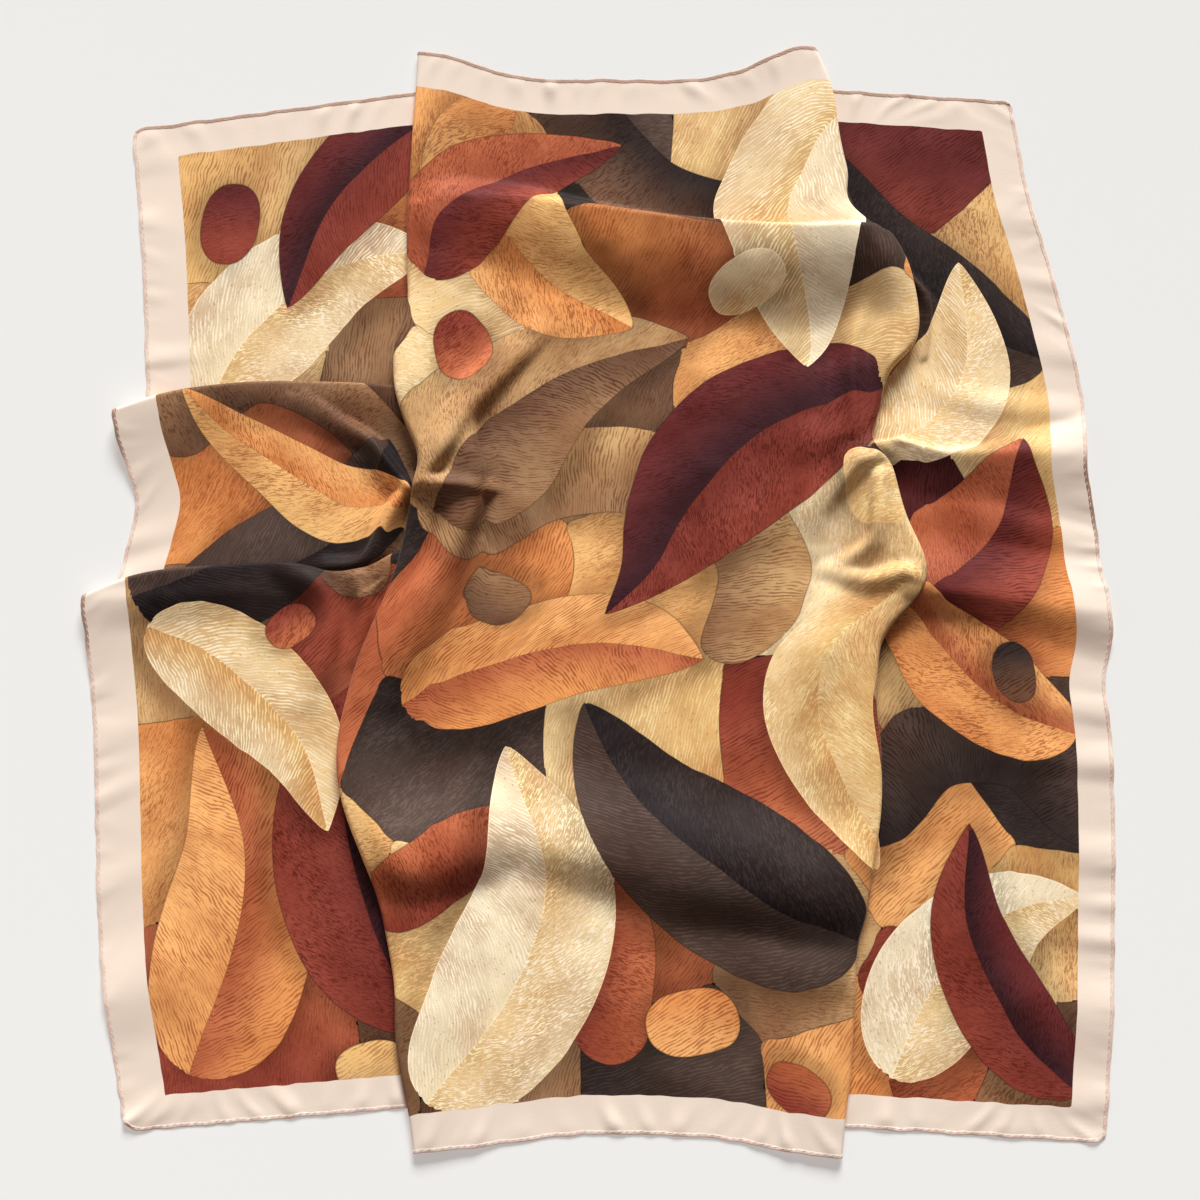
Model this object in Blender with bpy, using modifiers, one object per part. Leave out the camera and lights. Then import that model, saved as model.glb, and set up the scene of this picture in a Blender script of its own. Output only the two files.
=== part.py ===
"""Silk square scarf laid flat in a vertical box pleat.

The centre of the square is raised over both sides along two long folds.  The
left side carries two knife pleats whose folds run into a pinch beside the
centre, and the right side has soft folds that run out from a second pinch.
Each stretch of cloth that shows is one wall, each stretch of rolled hem is one
tube, and the layers hidden in each pleat are one rounded, layered solid.

Frame: metres, +Z up, origin at the middle of the footprint on the surface the
scarf lies on, +Y towards the top hem, +X towards the right-hand side.
All tables are in millimetres.
"""
import bpy
import bmesh
import numpy as np
from math import pi, cos, sin

MM = 0.001

# ---------------------------------------------------------------- sizes (mm)
CUT = 530.0              # side of the square before it is folded
WALL = 1.0               # wall that stands for one layer of cloth
GAP = 0.3                # clearance between neighbouring pieces
HEM_WIDE = 2.6           # rolled hem, across
HEM_HIGH = 1.5           # rolled hem, up
HEM_SIDES = 6            # facets round the hem
ROLL = 2.5               # how far a fold edge rolls down
FALL_START = 4.0         # the loft of a fold stays full this far in
FALL_LONG = 50.0         # and is gone this much further in, long folds
FALL_SHORT = 26.0        # the same for the knife pleats
CORE_IN = 5.6            # hidden layers start this far inside their fold
CORE_LONG = 27.0         # and end here, long folds
CORE_SHORT = 15.0        # the same for the knife pleats
CORE_CLEAR = 1.65        # hidden layers lie this far under the top of the cloth
CELL = 12.5              # size of the cloth facets away from folds
EDGE_STEPS = (0.0, 0.5, 1.7, 5.0)   # facets that round a fold edge
MIDDLE = (-0.11, -0.69)    # middle of the footprint in the tables

# ------------------------------------------------------- sections of a panel
# One row for each section across the panel, from its top to its bottom.
SECTION = ("left_x", "left_y", "right_x", "right_y", "loft_left", "loft_right")

CENTRE = (
    (-86.5, 263.5, 108.5, 263.5, 4.0, 4.0),
    (-88.0, 241.0, 115.5, 242.0, 4.0, 4.0),
    (-90.0, 206.0, 121.0, 205.5, 4.5, 4.5),
    (-91.0, 181.0, 123.0, 187.5, 5.0, 6.0),
    (-91.0, 157.5, 142.0, 168.5, 6.0, 8.0),
    (-90.5, 136.5, 152.5, 148.0, 7.0, 9.0),
    (-96.0, 116.5, 154.0, 119.5, 8.0, 9.0),
    (-95.5, 97.0, 141.0, 102.0, 9.0, 9.0),
    (-91.0, 80.0, 136.0, 84.5, 9.0, 9.0),
    (-85.0, 63.0, 132.0, 70.0, 10.0, 9.5),
    (-86.5, 46.0, 142.0, 55.5, 10.0, 9.5),
    (-88.5, 30.5, 149.0, 31.5, 9.0, 9.0),
    (-93.0, 10.0, 157.0, 10.0, 8.0, 8.5),
    (-103.5, -15.5, 153.0, -4.0, 8.0, 8.5),
    (-114.0, -41.0, 136.0, -28.0, 8.0, 7.0),
    (-120.0, -75.5, 133.5, -54.0, 7.0, 6.0),
    (-118.5, -101.5, 135.5, -82.0, 6.5, 5.5),
    (-107.5, -128.5, 133.5, -119.5, 6.0, 5.0),
    (-99.5, -150.5, 128.0, -149.5, 5.5, 5.0),
    (-94.5, -175.5, 123.5, -172.5, 5.0, 4.5),
    (-90.5, -210.0, 120.5, -218.0, 4.5, 4.5),
    (-86.0, -240.0, 118.0, -241.5, 4.0, 4.0),
    (-82.5, -264.5, 115.5, -265.5, 4.0, 4.0),
)

RIGHT = (
    (112.0, 244.5, 201.5, 238.0, 0.0, 0.0),
    (117.0, 219.0, 205.7, 213.0, 0.0, 0.0),
    (120.5, 189.0, 210.0, 188.5, 0.0, 0.0),
    (139.5, 166.5, 217.0, 163.5, 0.0, 0.0),
    (149.0, 144.0, 223.0, 140.5, 0.0, 0.0),
    (150.5, 119.5, 228.0, 119.5, 0.0, 0.0),
    (136.5, 102.5, 232.0, 101.0, 0.0, 0.0),
    (132.5, 88.0, 234.0, 84.5, 0.0, 0.0),
    (130.5, 71.0, 234.0, 68.5, 0.0, 0.0),
    (138.5, 56.5, 234.0, 56.0, 0.0, 0.0),
    (145.5, 32.0, 238.0, 32.0, 0.0, 0.0),
    (153.0, 10.5, 239.0, 9.0, 0.0, 0.0),
    (149.0, -4.5, 242.8, -2.5, 0.0, 0.0),
    (133.5, -27.5, 244.5, -25.0, 0.0, 0.0),
    (130.5, -53.5, 241.0, -44.0, 0.0, 0.0),
    (132.5, -82.0, 243.5, -72.5, 0.0, 0.0),
    (130.5, -119.5, 244.0, -114.5, 0.0, 0.0),
    (125.5, -149.5, 243.0, -153.5, 0.0, 0.0),
    (119.5, -196.0, 241.5, -196.0, 0.0, 0.0),
    (115.8, -229.5, 238.5, -236.0, 0.0, 0.0),
    (114.5, -251.5, 236.5, -258.0, 0.0, 0.0),
)

LEFT_UPPER = (
    (-226.9, 226.2, -84.0, 244.8, 0.0, 0.0),
    (-224.4, 202.8, -86.0, 219.8, 0.0, 0.0),
    (-220.4, 165.0, -87.5, 174.0, 0.0, 0.0),
    (-217.9, 124.0, -91.0, 129.0, 0.0, 0.0),
    (-215.9, 87.5, -92.5, 93.0, 0.0, 0.0),
)

LEFT_MID = (
    (-232.0, 86.0, -91.5, 97.5, 0.0, 0.0),
    (-229.0, 71.0, -88.0, 80.5, 0.0, 0.0),
    (-224.0, 57.0, -82.5, 64.0, 0.0, 0.0),
    (-220.0, 42.0, -84.0, 46.0, 0.0, 0.0),
    (-223.0, 23.0, -89.0, 26.5, 0.0, 0.0),
    (-228.5, -1.5, -93.5, 14.0, 0.0, 0.0),
)

LEFT_LOWER = (
    (-244.7, -3.8, -92.5, 18.0, 0.0, 0.0),
    (-241.3, -30.0, -104.5, -24.0, 0.0, 0.0),
    (-237.3, -66.5, -117.0, -66.0, 0.0, 0.0),
    (-234.8, -115.5, -111.0, -111.0, 0.0, 0.0),
    (-232.6, -156.0, -96.0, -152.0, 0.0, 0.0),
    (-228.8, -190.0, -89.5, -194.0, 0.0, 0.0),
    (-221.0, -234.5, -84.5, -222.5, 0.0, 0.0),
    (-217.0, -255.5, -82.0, -243.5, 0.0, 0.0),
)

# How far the top and bottom lines stand off a straight line between their
# ends, + towards the top hem.
BOW = ("share_across", "rise")
CENTRE_TOP = ((0.0, 0.0), (0.05, -1.0), (0.20, -9.4), (0.31, -13.2),
              (0.45, -13.6), (0.56, -14.1), (0.66, -14.4), (0.80, -10.6),
              (0.97, 0.5), (1.0, 0.0))
CENTRE_BOTTOM = ((0.0, 0.0), (0.19, 4.2), (0.28, 6.8), (0.36, 8.8),
                 (0.45, 9.7), (0.53, 9.7), (0.62, 9.2), (0.71, 8.2),
                 (0.89, 2.2), (1.0, 0.0))
UPPER_BOTTOM = ((0.0, 0.0), (0.34, 6.3), (0.75, 4.5), (1.0, 0.0))
MID_TOP = ((0.0, 0.0), (0.18, 5.9), (0.41, 8.2), (0.77, 4.6), (1.0, 0.0))
MID_BOTTOM = ((0.0, 0.0), (0.37, 2.6), (0.65, -0.6), (0.78, -5.0),
              (0.88, -5.0), (1.0, 0.0))
LOWER_TOP = ((0.0, 0.0), (0.15, 5.5), (0.43, 5.0), (0.68, 0.0),
             (0.80, -6.0), (0.89, -6.0), (1.0, 0.0))
FLAT_LINE = ((0.0, 0.0), (1.0, 0.0))
BOW_REACH = 45.0         # a bowed line straightens out over this length

# ------------------------------------------------------------- soft ridges
# One row for each large fold that stands up from its panel.  It runs through
# its points; "wide_left" is its reach to the left of that direction.  "full"
# is 0 for a side that eases out at its foot and at its crest; above 0 that side
# falls away from the crest at once, and the more gently the larger it is.
RIDGE = ("panel", "points", "heights", "wide_left", "wide_right", "full_left", "full_right")
RIDGES = (
    ("centre", ((-75, 188), (-41, 188), (2, 182), (51, 175), (94, 172), (134, 171)),
     (4, 8, 12, 16, 16.5, 12), (15, 12, 9, 9, 9, 9), (26, 36, 42, 45, 46, 40), 0, 2.3),
    ("centre", ((-22, 130), (-44, 106), (-58, 88), (-70, 68), (-84, 50)),
     (0.5, 6, 9, 10, 8.5), 9, (15, 14, 13, 12, 10), 3.0, 2.0),
    ("centre", ((-60, 88), (-58, 70), (-54, 56), (-55, 40), (-63, 22), (-73, 2), (-86, -22), (-99, -48)),
     (4, 8, 9, 8.5, 8, 6.5, 4, 1.5), (9, 9, 9, 9, 10, 13, 15, 16),
     (12, 18, 22, 18, 14, 14, 18, 20), 2.6, 2.2),
    ("centre", ((-85, 47.5), (-74, 47.5), (-62, 46.5), (-53, 45.5)), (7.5, 8, 8, 7.5), 10, 9, 0, 2.0),
    ("centre", ((-120, -118), (-100, -128), (-80, -130), (-62, -125), (-44, -117), (-24, -111)),
     (5, 8, 9, 8.5, 6, 1.5), (48, 46, 44, 42, 40, 36), 21, 0, 2.2),
    ("centre", ((-46, -117), (-16, -121), (13, -126), (41, -133), (69, -138), (97, -144), (130, -149)),
     (1.5, 6, 9.5, 11, 10.5, 8, 5), (40, 46, 48, 48, 46, 42, 38), (20, 22, 25, 28, 28, 26, 24), 0, 2.2),
    ("centre", ((128, 134), (124, 121), (123, 102), (124, 74)), (2, 3.5, 3.5, 2), 9, 9, 0, 0),
    ("centre", ((142, 68), (125, 58), (115, 46), (108, 35), (107, 20)),
     (7, 6.5, 6, 4, 1), 10, 12, 0, 0),
    ("centre", ((136, 52), (134, 34), (130, 20), (117, 10)), (5, 5, 4.5, 2), 9, 9, 0, 0),
    ("centre", ((112, 8), (130, 3), (147, 6), (158, -1)), (2, 4.5, 5, 5), 9, 9, 0, 0),
    ("centre", ((112, -8), (104, -40), (98, -70)), (2, 3, 0.5), 14, 16, 0, 0),
    ("right", ((144, 69), (164, 64), (186, 64), (216, 64.5), (246, 64.5)),
     (8, 7.5, 6.8, 6.0, 5.4), (9, 9, 10, 20, 34), (20, 21, 24, 30, 35), 0, 1.35),
    ("right", ((150, 1), (173, -3), (201, -5), (232, -9), (250, -11)),
     (6, 6.5, 6.2, 5.6, 5.0), (26, 26, 28, 31, 32), (17, 17, 20, 27, 31), 0, 1.9),
    ("left_mid", ((-140, 90), (-124, 80), (-108, 71), (-97, 58), (-88, 47)),
     (1.0, 4, 7.5, 9, 8.5), 9, (12, 10, 9, 9, 9), 2.2, 2.0),
    ("left_mid", ((-88, 48), (-95, 38), (-100, 27), (-103, 16), (-108, 6)),
     (8.5, 8, 6.5, 5, 3), 9, 9, 2.0, 2.2),
    ("left_lower", ((-148, 10), (-128, -4), (-125, -26), (-134, -52)),
     (2.5, 4.5, 4.5, 1), (12, 9, 9, 12), (10, 11, 13, 14), 0, 0),
    ("left_lower", ((-112, 4), (-108, -12), (-112, -34)), (3, 4.5, 1.5), 9, 9, 0, 0),
)
RIDGE_FADE = 11.0        # ridges of the sides start this far outside the folds
RIDGE_EDGE = 0.35        # share of a ridge that the centre's own fold edge keeps
TUCK_START = 6.5         # ridges end this far above a line that is tucked under
TUCK_FADE = 8.0          # and are full this much further up

# The two knife pleats stand open towards the left hem: loft of the fold at the
# hem, how far down the panel it takes to come down, and how far in it reaches.
MOUTH = {"left_mid": (7.8, 58.0), "left_lower": (5.3, 56.0)}
MOUTH_REACH = 44.0


# ------------------------------------------------------------------ curves
def through(values, u):
    """Catmull-Rom curve through the rows of a table, u from 0 to 1."""
    v = np.asarray(values, float)
    if v.ndim == 1:
        v = v[:, None]
    n = len(v)
    u = np.clip(np.asarray(u, float), 0.0, 1.0) * (n - 1)
    i = np.minimum(u.astype(int), n - 2)
    f = (u - i)[..., None]
    p1, p2 = v[i], v[i + 1]
    p0 = np.where((i > 0)[..., None], v[np.maximum(i - 1, 0)], 2 * p1 - p2)
    p3 = np.where((i + 2 < n)[..., None], v[np.minimum(i + 2, n - 1)], 2 * p2 - p1)
    m1, m2 = (p2 - p0) / 2, (p3 - p1) / 2
    f2, f3 = f * f, f * f * f
    return ((2 * f3 - 3 * f2 + 1) * p1 + (f3 - 2 * f2 + f) * m1
            + (3 * f2 - 2 * f3) * p2 + (f3 - f2) * m2)


def smooth(x):
    x = np.clip(x, 0.0, 1.0)
    return x * x * (3 - 2 * x)


def bow(table, s):
    """Rise of a bowed line at share s, eased between the rows."""
    a = np.asarray(table, float)
    s = np.clip(np.asarray(s, float), 0.0, 1.0)
    i = np.clip(np.searchsorted(a[:, 0], s, side="right") - 1, 0, len(a) - 2)
    x0, x1 = a[i, 0], a[i + 1, 0]
    slope = np.gradient(a[:, 1], a[:, 0])
    h = x1 - x0
    f = (s - x0) / h
    f2, f3 = f * f, f * f * f
    return ((2 * f3 - 3 * f2 + 1) * a[i, 1] + (f3 - 2 * f2 + f) * h * slope[i]
            + (3 * f2 - 2 * f3) * a[i + 1, 1] + (f3 - f2) * h * slope[i + 1])


def fall(d, reach):
    """1 at a fold, 0 once the cloth has come down to the surface."""
    return np.cos(pi / 2 * np.clip((d - FALL_START) / reach, 0, 1)) ** 2


def long_fall(d, reach):
    """1 at a fold; steep next to it and ever flatter away from it."""
    return (1 - np.clip((d - 1.5) / reach, 0, 1) ** 1.3) ** 2


def flank(share, full):
    """Side of a ridge: 1 at its crest, 0 where its reach ends."""
    return (1 - share ** full) ** 2 if full else np.cos(pi / 2 * share) ** 2


def roll_down(d, depth):
    """How far a fold edge has turned down at a distance d from the edge."""
    q = np.clip(1 - d / np.maximum(depth, 1e-6), 0, 1)
    return depth * (1 - np.sqrt(1 - q * q))


class Panel:
    """A stretch of cloth between a left and a right line."""

    def __init__(self, name, rows, top, bottom, folds, hems):
        self.name, self.folds, self.hems = name, folds, hems
        self.rows = np.asarray(rows, float)
        self.top, self.bottom = top, bottom
        mid = (self.rows[:, :2] + self.rows[:, 2:4]) / 2
        self.length = float(np.linalg.norm(np.diff(mid, axis=0), axis=1).sum())
        self.width = float(np.mean(self.rows[:, 2] - self.rows[:, 0]))
        # rows are not evenly spaced: share of the length against row number
        step = np.concatenate(([0], np.cumsum(np.linalg.norm(np.diff(mid, axis=0), axis=1))))
        self.share = step / step[-1]
        self.index = np.linspace(0, 1, len(self.rows))

    def row(self, t):
        return through(self.rows, np.interp(t, self.share, self.index))

    def plan(self, s, t):
        """x, y of the cloth at share s across and share t down."""
        s, t = np.broadcast_arrays(np.asarray(s, float), np.asarray(t, float))
        r = self.row(t)
        x = r[..., 0] + (r[..., 2] - r[..., 0]) * s
        y = r[..., 1] + (r[..., 3] - r[..., 1]) * s
        y = y + bow(self.top, s) * (1 - smooth(t * self.length / BOW_REACH))
        y = y + bow(self.bottom, s) * (1 - smooth((1 - t) * self.length / BOW_REACH))
        return x, y

    def wide(self, r):
        return np.hypot(r[..., 2] - r[..., 0], r[..., 3] - r[..., 1])

    def below(self, s, t):
        """Distance from the panel's top line."""
        x, y = self.plan(s, t)
        x0, y0 = self.plan(s, np.zeros(t.shape))
        return np.hypot(x - x0, y - y0)

    def base(self, s, t):
        """Height of the cloth's top over its folds, without ridges."""
        s, t = np.broadcast_arrays(np.asarray(s, float), np.asarray(t, float))
        r = self.row(t)
        wide = self.wide(r)
        dl, dr, dt = s * wide, (1 - s) * wide, self.below(s, t)
        z = np.full(s.shape, WALL)
        if "left" in self.folds:
            z = z + r[..., 4] * fall(dl, FALL_LONG)
        if "right" in self.folds:
            z = z + r[..., 5] * fall(dr, FALL_LONG)
        if "top" in self.folds:
            loft, down = MOUTH[self.name]
            near = np.exp(-(dl / MOUTH_REACH) ** 2)
            z = (z + self.folds["top"] * fall(dt, FALL_SHORT) * (1 - near)
                 + loft * long_fall(dt, down) * near)
        return z

    def height(self, s, t):
        s, t = np.broadcast_arrays(np.asarray(s, float), np.asarray(t, float))
        r = self.row(t)
        wide = self.wide(r)
        dl, dr, dt = s * wide, (1 - s) * wide, self.below(s, t)
        x, y = self.plan(s, t)
        z = self.base(s, t) + self.ridges(x, y, s, t, wide)
        if "left" in self.folds:
            z = z - roll_down(dl, np.minimum(ROLL, r[..., 4] - GAP))
        if "right" in self.folds:
            z = z - roll_down(dr, np.minimum(ROLL, r[..., 5] - GAP))
        if "top" in self.folds:
            z = z - roll_down(dt, ROLL)
        return z

    def above(self, s, t):
        """Distance from the panel's bottom line."""
        x, y = self.plan(s, t)
        x1, y1 = self.plan(s, np.ones(t.shape))
        return np.hypot(x - x1, y - y1)

    def ridges(self, x, y, s, t, wide):
        """Height of all the panel's ridges; where two meet, they blend."""
        cubes = np.zeros(x.shape)
        u = np.linspace(0, 1, 80)
        for panel, points, heights, left, right, full_l, full_r in RIDGES:
            if panel != self.name:
                continue
            path = through(points, u)
            tall = through(heights, u)[:, 0]
            wl = through(left, u)[:, 0] if isinstance(left, tuple) else np.full(u.shape, float(left))
            wr = through(right, u)[:, 0] if isinstance(right, tuple) else np.full(u.shape, float(right))
            away = np.gradient(path, axis=0)
            away /= np.linalg.norm(away, axis=1)[:, None]
            dx, dy = x[..., None] - path[:, 0], y[..., None] - path[:, 1]
            k = np.argmin(dx * dx + dy * dy, axis=-1)
            ddx = x - path[k, 0]
            ddy = y - path[k, 1]
            side = away[k, 0] * ddy - away[k, 1] * ddx
            d = np.hypot(ddx, ddy)
            blend = smooth(side / 3.0 + 0.5)
            share = np.clip(d / (wr[k] * (1 - blend) + wl[k] * blend), 0, 1)
            one = tall[k] * (flank(share, full_r) * (1 - blend) + flank(share, full_l) * blend)
            cubes = cubes + np.maximum(one, 0) ** 3
        z = np.cbrt(cubes)
        if self.name == "right":
            z = z * smooth(s * wide / RIDGE_FADE)
        if self.name.startswith("left"):
            z = z * smooth((1 - s) * wide / RIDGE_FADE)
        if self.name in ("left_upper", "left_mid"):
            z = z * smooth((self.above(s, t) - TUCK_START) / TUCK_FADE)
        if "left" in self.folds:
            z = z * (RIDGE_EDGE + (1 - RIDGE_EDGE) * smooth(s * wide / 14.0))
        if "right" in self.folds:
            z = z * (RIDGE_EDGE + (1 - RIDGE_EDGE) * smooth((1 - s) * wide / 14.0))
        return z


HEM_INSET = HEM_WIDE + GAP


def metres(x, y, z):
    """A point of the tables in the part's own frame."""
    return ((x - MIDDLE[0]) * MM, (y - MIDDLE[1]) * MM, z * MM)


PANELS = {
    "centre": Panel("centre", CENTRE, CENTRE_TOP, CENTRE_BOTTOM,
                    {"left": 1, "right": 1}, ("top", "bottom")),
    "right": Panel("right", RIGHT, FLAT_LINE, FLAT_LINE,
                   {}, ("top", "right", "bottom")),
    "left_upper": Panel("left_upper", LEFT_UPPER, FLAT_LINE, UPPER_BOTTOM,
                        {}, ("top", "left")),
    "left_mid": Panel("left_mid", LEFT_MID, MID_TOP, MID_BOTTOM,
                      {"top": 3.8}, ("left",)),
    "left_lower": Panel("left_lower", LEFT_LOWER, LOWER_TOP, FLAT_LINE,
                        {"top": 3.8}, ("left", "bottom")),
}


# ------------------------------------------------------------------ makers
def material(name, colour, roughness):
    m = bpy.data.materials.new(name)
    m.use_nodes = True
    b = m.node_tree.nodes["Principled BSDF"]
    b.inputs["Base Color"].default_value = (*colour, 1.0)
    b.inputs["Roughness"].default_value = roughness
    b.inputs["Metallic"].default_value = 0.0
    return m


def place(name, data, colour, roughness=0.45):
    ob = bpy.data.objects.new(name, data)
    ob.data.materials.append(material(name, colour, roughness))
    scarf.objects.link(ob)
    return ob


def stations(length, first, last, fold_first, fold_last):
    """Distances along a side: fine at a fold edge, CELL apart elsewhere."""
    a = list(first + np.array(EDGE_STEPS)) if fold_first else [first]
    b = list(length - last - np.array(EDGE_STEPS)) if fold_last else [length - last]
    lo, hi = max(a), min(b)
    n = max(2, int(round((hi - lo) / CELL)))
    mid = list(np.linspace(lo, hi, n + 1)[1:-1])
    return np.array(sorted(set(a + mid + b)))


def lines(p):
    """The shares across and down that a panel's facets lie on."""
    s = stations(p.width,
                 HEM_INSET if "left" in p.hems else 0.0,
                 HEM_INSET if "right" in p.hems else 0.0,
                 "left" in p.folds, "right" in p.folds) / p.width
    t = stations(p.length,
                 HEM_INSET if "top" in p.hems else 0.0,
                 HEM_INSET if "bottom" in p.hems else 0.0,
                 "top" in p.folds, False) / p.length
    return s, t


def cloth(name, panel, colour):
    """A wall of even thickness over the panel's own surface."""
    p = PANELS[panel]
    s, t = lines(p)
    nx, ny = len(s) - 1, len(t) - 1
    bm = bmesh.new()
    bmesh.ops.create_grid(bm, x_segments=nx, y_segments=ny, size=0.5)
    co = np.array([v.co[:2] for v in bm.verts])
    i = np.rint((co[:, 0] + 0.5) * nx).astype(int)
    j = np.rint((0.5 - co[:, 1]) * ny).astype(int)
    x, y = p.plan(s[i], t[j])
    z = p.height(s[i], t[j])
    for v, a, b, c in zip(bm.verts, x, y, z):
        v.co = metres(a, b, c)
    mesh = bpy.data.meshes.new(name)
    bm.to_mesh(mesh)
    bm.free()
    mesh.shade_smooth()
    ob = place(name, mesh, colour)
    wall = ob.modifiers.new("wall", "SOLIDIFY")
    wall.thickness = WALL * MM
    wall.offset = -1.0
    wall.use_rim = True
    return ob


def core(name, panel, side, start, end, reach, colour, rows):
    """Hidden layers of a fold: a rounded solid with a step between layers."""
    p = PANELS[panel]
    rings = []
    for k in range(rows):
        along = start + (end - start) * k / (rows - 1)
        line = []

        wide = float(p.wide(p.row(along)))
        step = float(p.below(np.array(along), np.array(0.02))) / 0.02

        def at(d):
            if side == "left":
                s, t = d / wide, along
            elif side == "right":
                s, t = 1 - d / wide, along
            else:
                s, t = along, d / step
            s, t = np.array(s), np.array(t)
            x, y = p.plan(s, t)
            return float(x), float(y), float(p.base(s, t)) - CORE_CLEAR

        a, b = CORE_IN, reach
        ha, hb = at(a)[2], at(b)[2]
        for d, h in ((a + 0.5, 0.0), (a, 0.35 * ha), (a + 0.5, 0.5 * ha),
                     (a + 0.1, 0.65 * ha), (a + 0.9, 0.97 * ha)):
            x, y, _ = at(d)
            line.append((x, y, h))
        for f in (0.3, 0.6):
            line.append(at(a + (b - a) * f))
        for d, h in ((b - 0.8, 0.97 * hb), (b - 0.1, 0.65 * hb),
                     (b - 0.5, 0.5 * hb), (b, 0.35 * hb), (b - 0.5, 0.0)):
            x, y, _ = at(d)
            line.append((x, y, h))
        rings.append(line)
    bm = bmesh.new()
    vs = [[bm.verts.new(metres(x, y, z)) for x, y, z in ring] for ring in rings]
    n = len(vs[0])
    for a, b in zip(vs[:-1], vs[1:]):
        for k in range(n):
            bm.faces.new((a[k], a[(k + 1) % n], b[(k + 1) % n], b[k]))
    bm.faces.new(list(reversed(vs[0])))
    bm.faces.new(vs[-1])
    bmesh.ops.recalc_face_normals(bm, faces=bm.faces)
    mesh = bpy.data.meshes.new(name)
    bm.to_mesh(mesh)
    bm.free()
    return place(name, mesh, colour)


def hem(name, panel, side, colour, lead=0.0, tail=0.0):
    """Rolled hem: a tube of flattened section along one side of a panel."""
    p = PANELS[panel]
    across, down = lines(p)
    flat = side in ("top", "bottom")
    length = p.width if flat else p.length
    u = across if flat else down
    first, last = lead / length, 1 - tail / length
    u = [q for q in u if first + 0.003 < q < last - 0.003]
    u = np.array([first] + u + [last])
    other = p.length if flat else p.width
    out, edge = HEM_WIDE / 2 / other, HEM_INSET / other
    if side in ("bottom", "right"):
        out, edge = 1 - out, 1 - edge
    out, edge = np.full(u.shape, out), np.full(u.shape, edge)
    x, y = p.plan(u, out) if flat else p.plan(out, u)
    z = p.height(u, edge) if flat else p.height(edge, u)
    z = z - WALL + HEM_HIGH / 2 + 0.001
    curve = bpy.data.curves.new(name, "CURVE")
    curve.dimensions = "3D"
    curve.twist_mode = "Z_UP"
    spline = curve.splines.new("POLY")
    spline.points.add(len(x) - 1)
    for q, a, b, c in zip(spline.points, x, y, z):
        q.co = (*metres(a, b, c), 1.0)
    curve.bevel_mode = "OBJECT"
    curve.bevel_object = hem_section
    curve.use_fill_caps = True
    # made a mesh, so that its two end caps can be welded on
    guide = bpy.data.objects.new(name + "_path", curve)
    scarf.objects.link(guide)
    seen = guide.evaluated_get(bpy.context.evaluated_depsgraph_get())
    mesh = bpy.data.meshes.new_from_object(seen)
    bpy.data.objects.remove(guide, do_unlink=True)
    mesh.name = name
    bm = bmesh.new()
    bm.from_mesh(mesh)
    bmesh.ops.remove_doubles(bm, verts=bm.verts, dist=0.01 * MM)
    bmesh.ops.recalc_face_normals(bm, faces=bm.faces)
    bm.to_mesh(mesh)
    bm.free()
    mesh.materials.clear()
    return place(name, mesh, colour, 0.5)


def section_curve():
    """The flattened round that the hem tubes follow."""
    c = bpy.data.curves.new("hem_section", "CURVE")
    c.dimensions = "2D"
    sp = c.splines.new("POLY")
    sp.points.add(HEM_SIDES - 1)
    for k, q in enumerate(sp.points):
        a = pi / 2 + 2 * pi * k / HEM_SIDES
        q.co = (cos(a) * HEM_WIDE / 2 * MM, sin(a) * HEM_HIGH / 2 * MM, 0, 1)
    sp.use_cyclic_u = True
    ob = bpy.data.objects.new("hem_section", c)
    ob.hide_render = True
    ob.display_type = "WIRE"
    guides.objects.link(ob)
    return ob


# ------------------------------------------------------------------- build
for ob in list(bpy.data.objects):
    bpy.data.objects.remove(ob, do_unlink=True)

scarf = bpy.data.collections.new("silk_square_scarf")
guides = bpy.data.collections.new("guides")
bpy.context.scene.collection.children.link(scarf)
bpy.context.scene.collection.children.link(guides)

OCHRE = (0.77, 0.50, 0.18)
CREAM = (0.88, 0.77, 0.50)
ORANGE = (0.75, 0.34, 0.10)
MAROON = (0.19, 0.05, 0.05)
RUST = (0.45, 0.14, 0.07)
SHELL_PINK = (0.84, 0.71, 0.63)

hem_section = section_curve()

cloth("cloth_centre", "centre", OCHRE)
cloth("cloth_right", "right", RUST)
cloth("cloth_left_upper", "left_upper", CREAM)
cloth("cloth_left_mid", "left_mid", ORANGE)
cloth("cloth_left_lower", "left_lower", MAROON)

core("folds_left_upper", "centre", "left", 0.010, 0.325, CORE_LONG, OCHRE, 13)
core("folds_left_lower", "centre", "left", 0.520, 0.990, CORE_LONG, OCHRE, 17)
core("folds_right_upper", "centre", "right", 0.010, 0.310, CORE_LONG, RUST, 13)
core("folds_right_lower", "centre", "right", 0.560, 0.990, CORE_LONG, RUST, 15)
core("folds_mid", "left_mid", "top", 0.07, 0.88, CORE_SHORT, ORANGE, 10)
core("folds_lower", "left_lower", "top", 0.07, 0.76, CORE_SHORT, MAROON, 9)

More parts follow.
